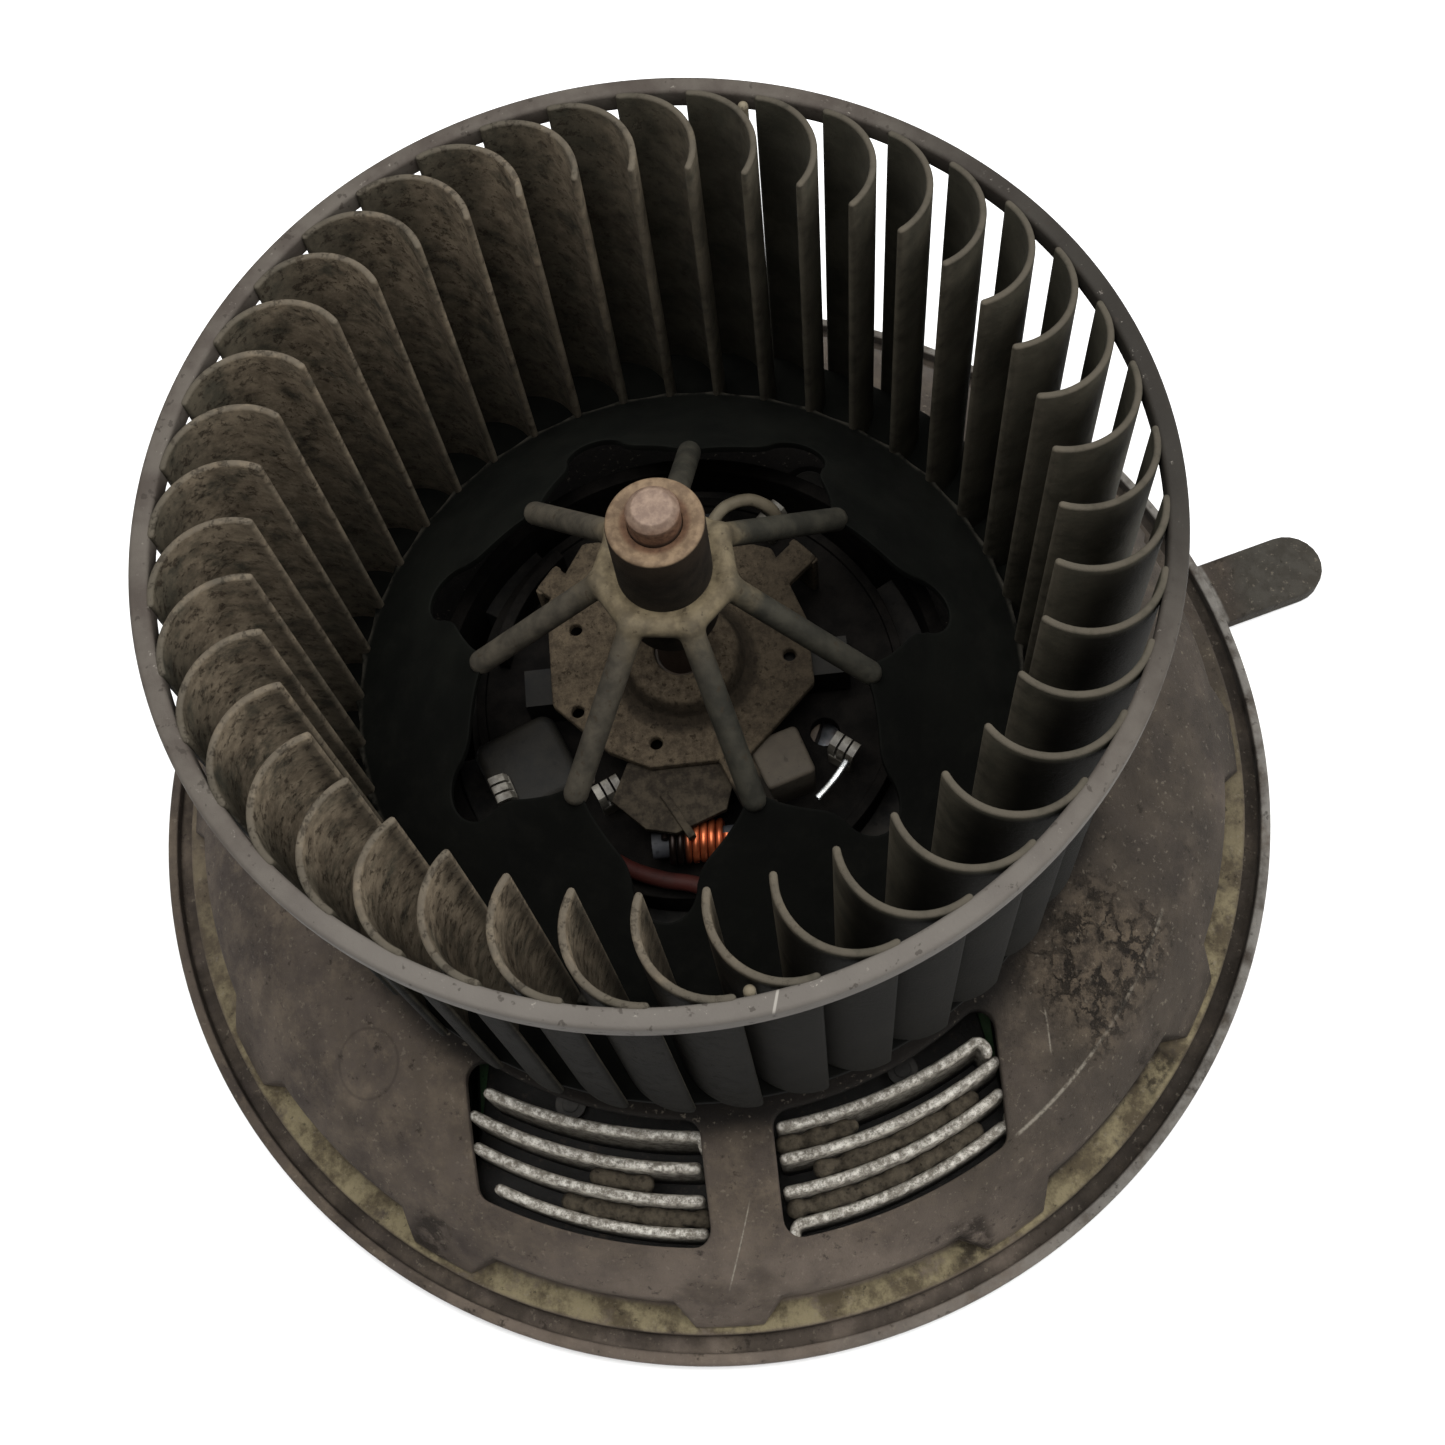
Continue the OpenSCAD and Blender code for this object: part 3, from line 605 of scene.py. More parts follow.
def blade_material():
    """Dark plastic under a brown film that is thickest on the left and near the top; the extra on the left is
    partly dust and partly painted light, and the outer faces at the front carry painted shade.
    """
    s = Shade("blade_plastic", 0.8, specular=0.06)
    clean = s.mottle((40, 39, 33), (56, 54, 46), 12)
    film = s.mottle((80, 71, 59), (113, 102, 86), 3, 8, 0.7, 4.0)
    # the film's left-hand share: partly dust, partly painted light
    left = s.band(s.x, 30, -25)
    patch = s.patches(0.3, 0.55, 6, 8, 0.7, 6.0)
    high_up = s.band(s.z, 50, 112)
    inner = s.band(s.radius, 74, 66)
    cover = s.times(s.math("ADD", s.times(left, 0.95), 0.1), patch,
                    s.math("ADD", s.times(high_up, 0.6), 0.4), inner)
    body = s.mix(cover, clean, film)
    crust = s.times(s.patches(0.53, 0.62, 1.7, 8, 0.8, 9.0), s.math("ADD", s.times(left, 0.8), 0.15))
    body = s.mix(s.times(crust, 0.75), body, srgb(42, 34, 27))
    tips = s.times(s.band(s.z, RING_TOP - 0.5, RING_TOP - 0.05), s.patches(0.2, 0.55, 2, 5, 0.6, 11.0))
    body = s.mix(s.times(tips, 0.75), body, srgb(70, 65, 57))
    roots = s.times(s.band(s.radius, DISC_STEP_R + 0.4, DISC_STEP_R - 1.2), s.patches(0.3, 0.6, 3, 5), 0.4)
    body = s.mix(roots, body, srgb(80, 74, 64))
    # painted shade: outer faces at the front, below the top edge, darkened
    outside = s.times(s.outward(), s.band(s.y, 10, -30), s.band(s.z, RING_TOP - 0.3, RING_TOP - 2))
    body = s.mix(s.times(outside, 0.9), body, srgb(11, 10, 8))
    height = s.math("ADD", s.times(crust, 0.7), s.noise(0.8, 6, 0.7))
    return s.finish(body, height, 0.14)


def disc_material():
    """Sooty black plastic with a dusty rim."""
    s = Shade("disc_plastic", 0.82, specular=0.06)
    body = s.mottle((9, 10, 8), (15, 16, 13), 14)
    # painted shade: the disc darker toward the front
    body = s.mix(s.times(s.band(s.y, 5, -30), 0.7), body, srgb(5, 5, 4))
    film = s.times(s.patches(0.45, 0.75, 5, 8, 0.7, 4.0), s.up(0.3, 1), 0.25)
    body = s.mix(film, body, srgb(30, 29, 25))
    rim = s.times(s.zone(s.radius, DISC_STEP_R - 1.4, DISC_STEP_R, 0.5), s.patches(0.35, 0.6, 2.5, 6), 0.8)
    body = s.mix(rim, body, srgb(66, 63, 56))
    return s.finish(body, s.noise(1.0, 5, 0.6), 0.05)


def spoke_material():
    """Grey spokes that turn cream where they meet the hub."""
    s = Shade("spoke_plastic", 0.75, specular=0.15)
    dark = s.mottle((33, 32, 27), (48, 46, 39), 4)
    cream = s.mottle((78, 69, 53), (108, 97, 76), 2.5, 6, 0.6, 2.0)
    grey = s.mix(s.patches(0.3, 0.7, 3, 5), srgb(46, 43, 37), srgb(68, 63, 54))
    spread = s.times(s.noise(5, 4), 10)
    near = s.band(s.math("ADD", s.radius, spread), 21, 12)
    # painted shade: spokes on the right (+x) darker, those on the left grey
    body = s.mix(s.band(s.math("ADD", s.math("ADD", s.x, s.radius), spread), 34, 12), dark, grey)
    body = s.mix(s.times(near, s.up(-0.5, 0.4)), body, cream)
    body = s.mix(s.times(s.patches(0.6, 0.67, 1.2, 4, 0.6, 9.0), 0.6), body, srgb(44, 36, 26))
    return s.finish(body, s.noise(0.8, 6, 0.7), 0.1)


def hub_material():
    """Dark barrel with a pale crown, rusty round the shaft."""
    s = Shade("hub_plastic", 0.7, specular=0.15)
    side = s.mottle((20, 17, 14), (34, 29, 24), 4)
    # painted light: the barrel's side lighter toward its top
    side = s.mix(s.times(s.band(s.z, HUB_TOP - 9, HUB_TOP - 0.5), 0.5), side, srgb(48, 39, 30))
    cream = s.mottle((82, 67, 52), (106, 89, 70), 1.5, 5)
    crown = s.times(s.band(s.z, HUB_TOP - 1.0, HUB_TOP - 0.6), s.up(0.2, 0.7))
    body = s.mix(crown, side, cream)
    rust = s.mottle((58, 38, 27), (84, 60, 44), 1.2, 6)
    rusty = s.times(s.band(s.z, HUB_TOP - 1.2, HUB_TOP - 0.6), s.band(s.radius, 5.6, 4.7), 0.85)
    body = s.mix(rusty, body, rust)
    return s.finish(body, s.noise(0.7, 6, 0.7), 0.09)


def shaft_material():
    """Dull steel with a film of rust."""
    s = Shade("shaft_steel", 0.6, 0.1, 0.3)
    steel = s.mottle((92, 75, 64), (116, 98, 84), 1.5, 6)
    rust = s.mottle((70, 48, 36), (98, 72, 55), 0.8, 6)
    ragged = s.math("ADD", s.z, s.times(s.noise(1.5, 6, 0.7, 3.0), 1.6))
    edge = s.band(ragged, SHAFT_TOP + 0.6, SHAFT_TOP - 1.4)
    body = s.mix(edge, steel, rust)
    body = s.mix(s.band(s.z, HUB_TOP + 0.8, HUB_TOP - 0.4), body, srgb(40, 28, 20))
    return s.finish(body, s.noise(0.5, 5), 0.06)


def arc_line(s, from_a, to_a, from_r, to_r, half):
    """Thin line that runs between two angles and drifts between two radii."""
    slope = (to_r - from_r) / (to_a - from_a)
    track = s.math("SUBTRACT", s.radius, s.times(s.math("SUBTRACT", s.angle, from_a), slope))
    return s.times(s.zone(track, from_r - half, from_r + half, 0.18), s.zone(s.angle, from_a, to_a, 0.3))


def flange_material():
    """Dusty plastic with dirt on its shelf and in a caked patch, darker in patches along its groove; painted shade
    on its right and on the deck under the wheel, painted light at the front and along the right of the lip.
    """
    s = Shade("flange_plastic", 0.82, specular=0.12)
    body = s.mottle((50, 44, 40), (74, 66, 59), 16, 6)
    dust = s.mottle((71, 63, 54), (92, 82, 70), 4, 6, 0.6, 5.0)
    lay = s.times(s.patches(0.4, 0.6, 9, 10, 0.78, 3.0), s.up(), 0.7)
    body = s.mix(lay, body, dust)
    # painted shade: the right side darker, where the wheel's shadow falls
    right = s.band(s.x, 5, 60)
    body = s.mix(s.times(right, s.patches(0.25, 0.55, 12, 6, 0.6, 7.0), 0.65), body, srgb(42, 38, 33))
    # painted light: lighter patches toward the front edge
    front = s.times(s.band(s.y, -84, -96), s.patches(0.25, 0.6, 10, 6, 0.6, 23.0))
    body = s.mix(s.times(front, 0.7), body, srgb(98, 88, 79))
    clean = s.mix(s.patches(0.4, 0.6, 3, 5), srgb(46, 44, 39), srgb(56, 54, 49))
    body = s.mix(s.times(s.band(s.x, 108, 113), 0.8), body, clean)
    # painted shade: near-black band on the deck under the wheel's rim
    painted_shade = s.times(s.band(s.radius, 77, 71), s.band(s.z, 24, 29))
    body = s.mix(s.times(painted_shade, 0.93), body, srgb(15, 13, 11))
    shelf = s.times(s.zone(s.radius, EDGE_R + 0.4, SHELF_R - 0.2, 0.5),
                    s.zone(s.z, SHELF_Z - 1, SHELF_Z + 0.6, 0.3), s.band(s.y, 30, -60),
                    s.patches(0.25, 0.5, 3, 6))
    olive = s.mix(s.patches(0.4, 0.6, 6, 8, 0.7, 6.0), srgb(70, 62, 48), srgb(112, 103, 80))
    body = s.mix(shelf, body, olive)
    gutter = s.times(s.zone(s.radius, SHELF_R - 0.4, GROOVE_R + 0.2, 0.4), s.band(s.z, 3.6, 1.6))
    body = s.mix(s.times(gutter, s.patches(0.3, 0.6, 6, 5, 0.6, 17.0), 0.6), body, srgb(30, 26, 22))
    # painted light: the lip lighter toward the right
    lip = s.times(s.zone(s.radius, GROOVE_R + 0.1, LIP_R + 0.6, 0.3), s.band(s.x, -20, 90),
                  s.patches(0.3, 0.6, 5, 5))
    body = s.mix(s.times(lip, 0.8), body, srgb(112, 109, 104))
    for from_a, to_a, from_r, to_r, half in ((-58.5, -27.5, 91, 89.5, 0.25), (-49.5, -46.5, 85, 80, 0.2),
                                             (-92.5, -89.5, 97, 85, 0.3)):
        line = s.times(arc_line(s, from_a, to_a, from_r, to_r, half), s.patches(0.3, 0.6, 1.2, 4, 0.7, 21.0))
        body = s.mix(s.times(line, 0.65), body, srgb(138, 132, 120))
    mark_x, mark_y = polar(84, 220.5 - 360)
    dx, dy = s.math("SUBTRACT", s.x, mark_x), s.math("SUBTRACT", s.y, mark_y)
    reach = s.math("SQRT", s.math("ADD", s.times(dx, dx), s.times(dy, dy)))
    body = s.mix(s.times(s.zone(reach, 5.6, 6.0, 0.3), 0.4), body, srgb(34, 30, 26))
    caked = s.times(s.zone(s.angle, -46, -29, 4), s.zone(s.radius, 73, 92, 4),
                    s.patches(0.25, 0.45, 9, 5, 0.6, 15.0))
    clods = s.mix(s.patches(0.4, 0.6, 2.5, 8, 0.8, 19.0), srgb(44, 38, 31), srgb(80, 70, 58))
    body = s.mix(s.times(caked, 0.8), body, clods)
    crumbs = s.times(caked, s.cracks(4.5), s.patches(0.4, 0.55, 5, 4, 0.6, 29.0))
    body = s.mix(s.times(crumbs, 0.85), body, srgb(26, 22, 18))
    for from_a, to_a in ((-126.5, -122.5), (-69.5, -65.5), (-43.5, -38.5)):
        debris = s.times(s.zone(s.angle, from_a, to_a, 0.8), s.zone(s.radius, 97.2, 103.2, 0.8),
                         s.patches(0.4, 0.58, 3.2, 8, 0.7, 31.0))
        body = s.mix(s.times(debris, 0.85), body, srgb(27, 22, 17))
    grains = s.times(s.patches(0.58, 0.68, 2.2, 5, 0.7, 9.0), 0.7)
    body = s.mix(grains, body, srgb(30, 26, 21))
    grit = s.times(s.patches(0.6, 0.69, 0.9, 3, 0.6, 13.0), 0.35)
    body = s.mix(grit, body, srgb(112, 104, 92))
    height = s.math("ADD", s.times(s.math("SUBTRACT", lay, s.times(crumbs, 3)), 0.7), s.noise(0.7, 6, 0.75))
    return s.finish(body, height, 0.25)


def fin_material():
    """Dusty aluminium, worn bright along the top edges with a painted highlight there too, and painted shade low
    down between the fins.
    """
    s = Shade("heat_sink", 0.5, 0.4)
    side = s.mix(s.patches(0.38, 0.62, 1.6, 8, 0.75), srgb(84, 78, 69), srgb(172, 166, 154))
    worn = s.mix(s.patches(0.42, 0.62, 1.2, 8, 0.8, 4.0), srgb(104, 98, 88), srgb(200, 196, 186))
    # the bright tops: partly wear, partly painted highlight
    body = s.mix(s.up(0.6, 0.95), side, worn)
    # painted shade: the fins darken low down, deep between them
    body = s.mix(s.band(s.z, 20, 14), body, srgb(20, 18, 15))
    body = s.mix(s.times(s.patches(0.54, 0.64, 1.6, 8, 0.8, 9.0), 0.7), body, srgb(58, 50, 40))
    return s.finish(body, s.noise(0.8, 8, 0.8), 0.3)


def plate_material():
    """Steel under a sandy felt of lint."""
    s = Shade("end_plate_steel", 0.9, specular=0.1)
    body = s.mix(s.patches(0.38, 0.62, 1.6, 10, 0.8), srgb(52, 45, 36), srgb(82, 72, 58))
    body = s.mix(s.times(s.patches(0.56, 0.64, 0.9, 4, 0.6, 5.0), 0.8), body, srgb(34, 28, 20))
    ring = s.zone(s.radius, 9.4, 12.6, 0.8)
    body = s.mix(s.times(ring, 0.7), body, srgb(26, 22, 17))
    # painted shade: the plate darker on its right and at its front end
    body = s.mix(s.times(s.band(s.x, 2, 22), 0.6), body, srgb(34, 29, 22))
    body = s.mix(s.times(s.band(s.radius, 22, 25), s.band(s.y, -8, -14)), body, srgb(22, 19, 15))
    return s.finish(body, s.noise(0.8, 8, 0.8), 0.35)


def coil_material():
    """Lacquered copper wire, with painted shade toward one end."""
    s = Shade("coil_wire", 0.4, 0.8)
    wire = s.mottle((120, 56, 31), (186, 100, 62), 4, 6)
    body = s.mix(s.band(s.x, -1.0, -3.4), wire, srgb(24, 16, 12))
    return s.finish(body, s.noise(0.8, 4), 0.04)


def card_material():
    """Near-black brush card, partly soot and partly painted shade; its raised cover plate is dusty."""
    s = Shade("brush_card", 0.85, specular=0.05)
    body = s.mottle((9, 8, 7), (18, 16, 14), 4, 6)
    dust = s.mix(s.patches(0.38, 0.62, 2, 8, 0.7), srgb(34, 30, 25), srgb(56, 50, 41))
    body = s.mix(s.times(s.band(s.z, 57.6, 58.4), s.band(s.x, -20, -16), s.band(s.y, -10, -14)), body, dust)
    return s.finish(body, s.noise(0.8, 6, 0.75), 0.2, 0.4)


MATERIALS = {
    "wheel_plastic": blade_material(),
    "ring": ring_material(),
    "wheel_dark": disc_material(),
    "spoke_plastic": spoke_material(),
    "hub": hub_material(),
    "shaft_steel": shaft_material(),
    "flange_plastic": flange_material(),
    "aluminium": fin_material(),
    "plate_steel": plate_material(),
    "card": card_material(),
    "coil": coil_material(),
    "lint": dusty("lint", (36, 32, 26), (66, 60, 50), (80, 72, 60), 0.5, 0.7, 0.9, 0.6, lump=1.6),
    "grey_plastic": dusty("grey_plastic", (50, 47, 42), (72, 68, 60), (84, 77, 66), 0.5, edge=0.4),
    "dark_cover": dusty("dark_cover", (11, 11, 10), (19, 18, 15), (31, 28, 23), 0.5),
    "black_plastic": dusty("black_plastic", (16, 15, 13), (26, 24, 21), (52, 47, 40), 0.3, edge=0.3),
    "pale_plastic": dusty("pale_plastic", (46, 42, 36), (64, 58, 50), (76, 69, 58), 0.4, 0.4, edge=0.3),
    "bright_steel": metal("bright_steel", (120, 122, 122), (190, 192, 192), 0.32, (84, 74, 60), 0.4),
    "clip_steel": metal("clip_steel", (58, 55, 48), (110, 106, 97), 0.5, (44, 37, 28), 0.6, edge=0,
                        metallic=0.2),
    "sooty_steel": metal("sooty_steel", (34, 32, 29), (58, 55, 50), 0.6, (26, 22, 18), 0.6, metallic=0.4),
    "laminations": metal("laminations", (70, 72, 76), (110, 112, 114), 0.45, (96, 60, 36), 0.3),
    "magnet_ferrite": dusty("magnet_ferrite", (34, 35, 38), (50, 51, 54), (70, 68, 64), 0.2, edge=0.3),
    "copper": metal("copper", (130, 62, 34), (196, 108, 66), 0.35, (60, 28, 17), 0.4, edge=0.0),
    "brass_part": metal("brass_part", (34, 30, 22), (54, 47, 34), 0.6, (20, 17, 12), 0.6, metallic=0.3),
    "bronze": metal("bronze", (44, 35, 25), (64, 52, 38), 0.6, (28, 21, 14), 0.5, metallic=0.3),
    "carbon": dusty("carbon", (26, 26, 28), (38, 38, 40), (56, 54, 52), 0.2, edge=0.2),
    "rubber": dusty("rubber", (18, 18, 18), (28, 27, 26), (56, 52, 46), 0.35, roughness=0.8, edge=0.4),
    "board": dusty("board", (40, 66, 40), (58, 88, 56), (110, 108, 92), 0.2, edge=0.1),
    "lead_red": dusty("lead_red", (30, 10, 8), (46, 17, 13), (40, 26, 21), 0.4, 0.4),
    "lead_cream": dusty("lead_cream", (84, 77, 64), (112, 104, 88), (78, 70, 56), 0.4, 0.4),
}
# CAD pieces whose finish differs from the rest of their slot
FINISHES = {
    # painted shade: the screws' sooty steel (partly real soot), the near-black card finish on motor_can and
    # motor_holder, and dark bronze instead of copper on armature_windings
    "holder_screws": "sooty_steel", "heat_sink_screws": "sooty_steel", "motor_can": "card",
    "brush_box_a": "dark_cover", "brush_box_b": "dark_cover", "armature_windings": "bronze",
    "motor_holder": "card",
    "brush_card": "card", "balance_clips": "lead_cream",
}


def paint_cad():
    """Gives each CAD node the finish of its material slot."""
    slots = {part["node"]: part["material_slot"] for part in frame["record"]["subparts"]}
    for name, obj in frame["nodes"].items():
        obj.data.materials.clear()
        obj.data.materials.append(MATERIALS[FINISHES.get(name, slots[name])])


# ---------- the wheel ----------


def wheel_ring():
    r_in, r_out = RING_IN, RING_R - 0.02
    profile = rounded([(r_in, RING_LOW), (r_out, RING_LOW), (r_out, RING_TOP), (r_in, RING_TOP)], 0.7)
    verts, faces = lathe(profile, 328)
    piece("ring", (verts, faces), "rotor", "wheel_plastic", MATERIALS["ring"], "wheel_top_ring")


def blade_path():
    steps = 22
    sweep_angle = 372 - BLADE_FROM
    return [(BLADE_X + BLADE_ARC * math.cos(math.radians(BLADE_FROM + sweep_angle * k / steps)),
             BLADE_ARC + BLADE_ARC * math.sin(math.radians(BLADE_FROM + sweep_angle * k / steps)))
            for k in range(steps + 1)]


def blade_floor(p):
    """Where a blade's foot sinks into the disc."""
    return max(DISC_LOW + 1.2, disc_top(math.hypot(p[0], p[1])) - 6.5)


def wheel_blades():
    one = wall(blade_path(), BLADE_HALF, blade_floor, RING_TOP - 0.05, 0.4, 0.12)
    blades = [moved(one, (0, 0, 0), BLADE_PHASE + k * BLADE_STEP) for k in range(BLADES)]
    piece("blades", joined(*blades), "rotor", "wheel_plastic", MATERIALS["wheel_plastic"], "wheel_blades")


def disc_outline():
    """Inner edge of the disc, which runs along the spoke feet and round the openings."""
    end, half = 40.5, 5.2
    out = []
    for k in range(SPOKES):
        turn = math.radians(SPOKE_PHASE + (k + 0.5) * SPOKE_STEP)
        side = smooth_path([(end, half, 0), (38, 6.3, 0), (35, 9.1, 0), (32.2, 11.4, 0), (29.6, 12.9, 0),
                            (28.2, 13.2, 0)], 4)
        arc = [polar(half, a) for a in range(-80, 81, 10)]
        loop = [(p.x, -p.y) for p in reversed(side)] + [(end + x, y) for x, y in arc]
        loop += [(p.x, p.y) for p in side]
        c, s = math.cos(turn), math.sin(turn)
        out += [(x * c - y * s, x * s + y * c) for x, y in loop]
    return out


def scalloped():
    """Outer edge of the cone: a shallow arc between each two blade roots."""
    per = 8
    out = []
    for k in range(BLADES * per):
        t = (k % per) / per
        turn = BLADE_PHASE + 0.8 + k * BLADE_STEP / per
        out.append(polar(DISC_STEP_R - 0.75 * math.sin(math.pi * t), turn))
    return out


def back_disc():
    cone = sheet(scalloped(), [disc_outline()], lambda x, y: disc_top(math.hypot(x, y)),
                 lambda x, y: disc_top(math.hypot(x, y)) - 2, edge=0.5, grid=2.2, spacing=1.0)
    floor_z = DISC_Z + 1.2
    outer = DISC_R - 0.05
    skirt = lathe(rounded([(56.5, DISC_LOW + 0.2), (outer, DISC_LOW + 0.1), (outer, DISC_Z - 0.1),
                           (59, floor_z), (57.5, 53.5), (56.5, 53.5)], 0.3), 246)
    piece("disc", joined(cone, skirt), "rotor", "wheel_dark", MATERIALS["wheel_dark"], "wheel_back_disc")


def melted(obj, voxel, rounds):
    """Merges overlapping shells into one skin with soft inner corners."""
    remesh = obj.modifiers.new("merge", "REMESH")
    remesh.mode = "VOXEL"
    remesh.voxel_size = voxel * MM
    smooth = obj.modifiers.new("soften", "SMOOTH")
    smooth.iterations = rounds
    smooth.factor = 0.6
    graph = bpy.context.evaluated_depsgraph_get()
    mesh = bpy.data.meshes.new_from_object(obj.evaluated_get(graph))
    mesh.shade_smooth()
    obj.modifiers.clear()
    obj.data = mesh
    return obj


def spider():
    bars = []
    for k in range(SPOKES):
        a = SPOKE_PHASE + k * SPOKE_STEP
        corner = (*polar(HEPTAGON_R, a), HEPTAGON_Z)
        neighbour = (*polar(HEPTAGON_R, a + SPOKE_STEP), HEPTAGON_Z)
        bars.append(ball(corner, 2.45))
        bars.append(sweep([corner, neighbour], 1.95, 20))
        foot = (*polar(32.3, a), 77.2)
        bars.append(sweep([corner, foot], 2.05, 20))
        bars.append(ball(foot, 2.1))
    bars.append(lathe(rounded([(6.9, 96.2), (9.4, 96.2), (9.4, 99.3), (6.9, 99.3)], 0.5), 64))
    obj = piece("spider", joined(*bars), "rotor", "spoke_plastic", MATERIALS["spoke_plastic"], "wheel_spider")
    melted(obj, 0.4, 6)


def hub():
    profile = rounded([(SHAFT_R + 0.05, HUB_LOW), (HUB_R, HUB_LOW), (HUB_R, HUB_TOP - 0.02, 0.7),
                       (6.4, HUB_TOP - 0.02, 0.3), (SHAFT_R + 0.05, HUB_TOP - 0.55)], 0.25)
    piece("boss", lathe(profile, 96), "rotor", "wheel_dark", MATERIALS["hub"], "wheel_hub")


def shaft():
    bottom = low("motor_shaft").z
    profile = rounded([(0, bottom), (SHAFT_R - 0.4, bottom), (SHAFT_R, bottom + 0.4),
                       (SHAFT_R, SHAFT_TOP - 1.2, 0.5), (SHAFT_R - 1.0, SHAFT_TOP, 0.5), (0, SHAFT_TOP)], 0)
    piece("shaft", lathe(profile, 72), "rotor", "shaft_steel", MATERIALS["shaft_steel"], "motor_shaft")


# ---------- the flange ----------


def notched_edge():
    """Outer edge of the dome, with its twelve tongues."""
    out = []
    root = math.degrees(math.asin(9.4 / EDGE_R))
    tip = math.degrees(math.asin(5.9 / TONGUE_R))
    step = 360 / TONGUES
    for k in range(TONGUES):
        a = TONGUE_PHASE + k * step
        out += [polar(EDGE_R, a - step + root + (step - 2 * root) * t / 8) for t in range(9)]
        out += [polar(TONGUE_R, a - tip + 2 * tip * t / 10) for t in range(11)]
    return out


def flange_window(side):
    """Outline of a heat-sink window: two arcs about the axis, two upright sides, round corners."""
    x_in, x_out = WIN_X[0] + WIN_CORNER, WIN_X[1] - WIN_CORNER
    r_in, r_out = WIN_R[0] + WIN_CORNER, WIN_R[1] - WIN_CORNER
    corners = [(x_in, r_in, 180, None), (x_out, r_in, None, 0),
               (x_out, r_out, 0, None), (x_in, r_out, None, -180)]
    out = []
    for x, r, start, stop in corners:
        y = -math.sqrt(r * r - x * x)
        toward = math.degrees(math.atan2(y, x)) if r == r_out else math.degrees(math.atan2(-y, -x))
        start = toward if start is None else start
        stop = toward if stop is None else stop
        for k in range(7):
            dx, dy = polar(WIN_CORNER, start + (stop - start) * k / 6)
            out.append((side * (x + dx), y + dy))
        if stop == toward:
            reach = WIN_R[1] if r == r_out else WIN_R[0]
            nx = x_in if r == r_out else x_out
            end = math.degrees(math.atan2(-math.sqrt(r * r - nx * nx), nx))
            begin = math.degrees(math.atan2(y, x))
            for k in range(1, 30):
                px, py = polar(reach, begin + (end - begin) * k / 30)
                out.append((side * px, py))
    return out


def slot_outline(length, width, x, y):
    ends = [(x - length / 2, y - width / 2), (x + length / 2, y - width / 2),
            (x + length / 2, y + width / 2), (x - length / 2, y + width / 2)]
    return rounded(ends, width / 2 - 0.5, 6)


def dome_low(x, y):
    r = math.hypot(x, y)
    return dome_top(r) - DOME_T if r < EDGE_R - DOME_T else SHELF_Z - 0.6


def flange_dome():
    guides = [circle(EDGE_R - DOME_T - 0.05), circle(EDGE_R - DOME_T + 0.05), circle(71.5, 1.6)]
    holes = [circle(DOME_IN), flange_window(1), flange_window(-1), slot_outline(20, 8, 14, -55.5)]
    return sheet(notched_edge(), holes, lambda x, y: dome_top(math.hypot(x, y)), dome_low,
                 edge=0.6, grid=2.8, guides=guides)


def flange_rim():
    inner = EDGE_R - DOME_T
    profile = rounded([(inner, 0), (LIP_R - 0.03, 0, 0.5), (LIP_R - 0.03, LIP_Z, 0.8), (GROOVE_R, LIP_Z, 0.4),
                       (GROOVE_R, GROOVE_Z, 0.5), (SHELF_R, GROOVE_Z, 0.5), (SHELF_R, SHELF_Z, 0.5),
                       (inner, SHELF_Z)], 0.1)
    return lathe(profile, 300)


def flange_tab():
    tip = TAB_TIP - TAB_W / 2
    half = TAB_W / 2
    loop = [(LIP_R - 0.8, -half), (tip, -half)]
    loop += [(tip + x, y) for x, y in (polar(half, a - 90) for a in range(15, 166, 15))]
    loop += [(tip, half), (LIP_R - 0.8, half)]
    tab = sheet(loop, [], lambda *_: TAB_T, lambda *_: 0.0, edge=0.6, grid=3)
    return moved(tab, (0, 0, 0), TAB_ANGLE)


def flange():
    piece("flange_shell", joined(flange_dome(), flange_rim(), flange_tab()), "housing", "flange_plastic",
          MATERIALS["flange_plastic"], "flange", sharp=50)


# ---------- the heat sink in the windows ----------

FIN_FIRST = 73.4
FIN_PITCH = 5.1
FIN_CURVE = 86.0
FIN_HALF = 0.95
FINS = 4
SINK_TOP = 12.0
SINK_HALF = 49
# Where lint has settled: window side, fin before it, first and last step along that fin
LINT = ((-1, 2, 0, 16), (1, 0, 0, 9), (1, 1, 4, 22), (1, 2, 0, 22), (-1, 1, 6, 12))


def fin_path(k, side):
    """Centre line of one fin; the shorter ones stop clear of the window's outer end."""
    y = FIN_FIRST + k * FIN_PITCH
    short = (side, k) in ((-1, 0), (-1, 3), (1, 0))
    start = WIN_X[0] + (3.4 if (side, k) == (1, 3) else 1.4)
    stop = WIN_X[1] - (3.6 if short else 0.6)
    path = []
    for i in range(25):
        x = start + (stop - start) * i / 24
        path.append((side * x, -y + FIN_CURVE - math.sqrt(FIN_CURVE**2 - x * x)))
    return path


def hook(path, side, turn):
    """Quarter-round turned end, added in front of a fin's first point."""
    x, y = path[0]
    r = 1.7
    arc = [(x - side * r * math.sin(math.radians(a)), y + turn * r * (1 - math.cos(math.radians(a))))
           for a in range(100, 0, -20)]
    return arc + path


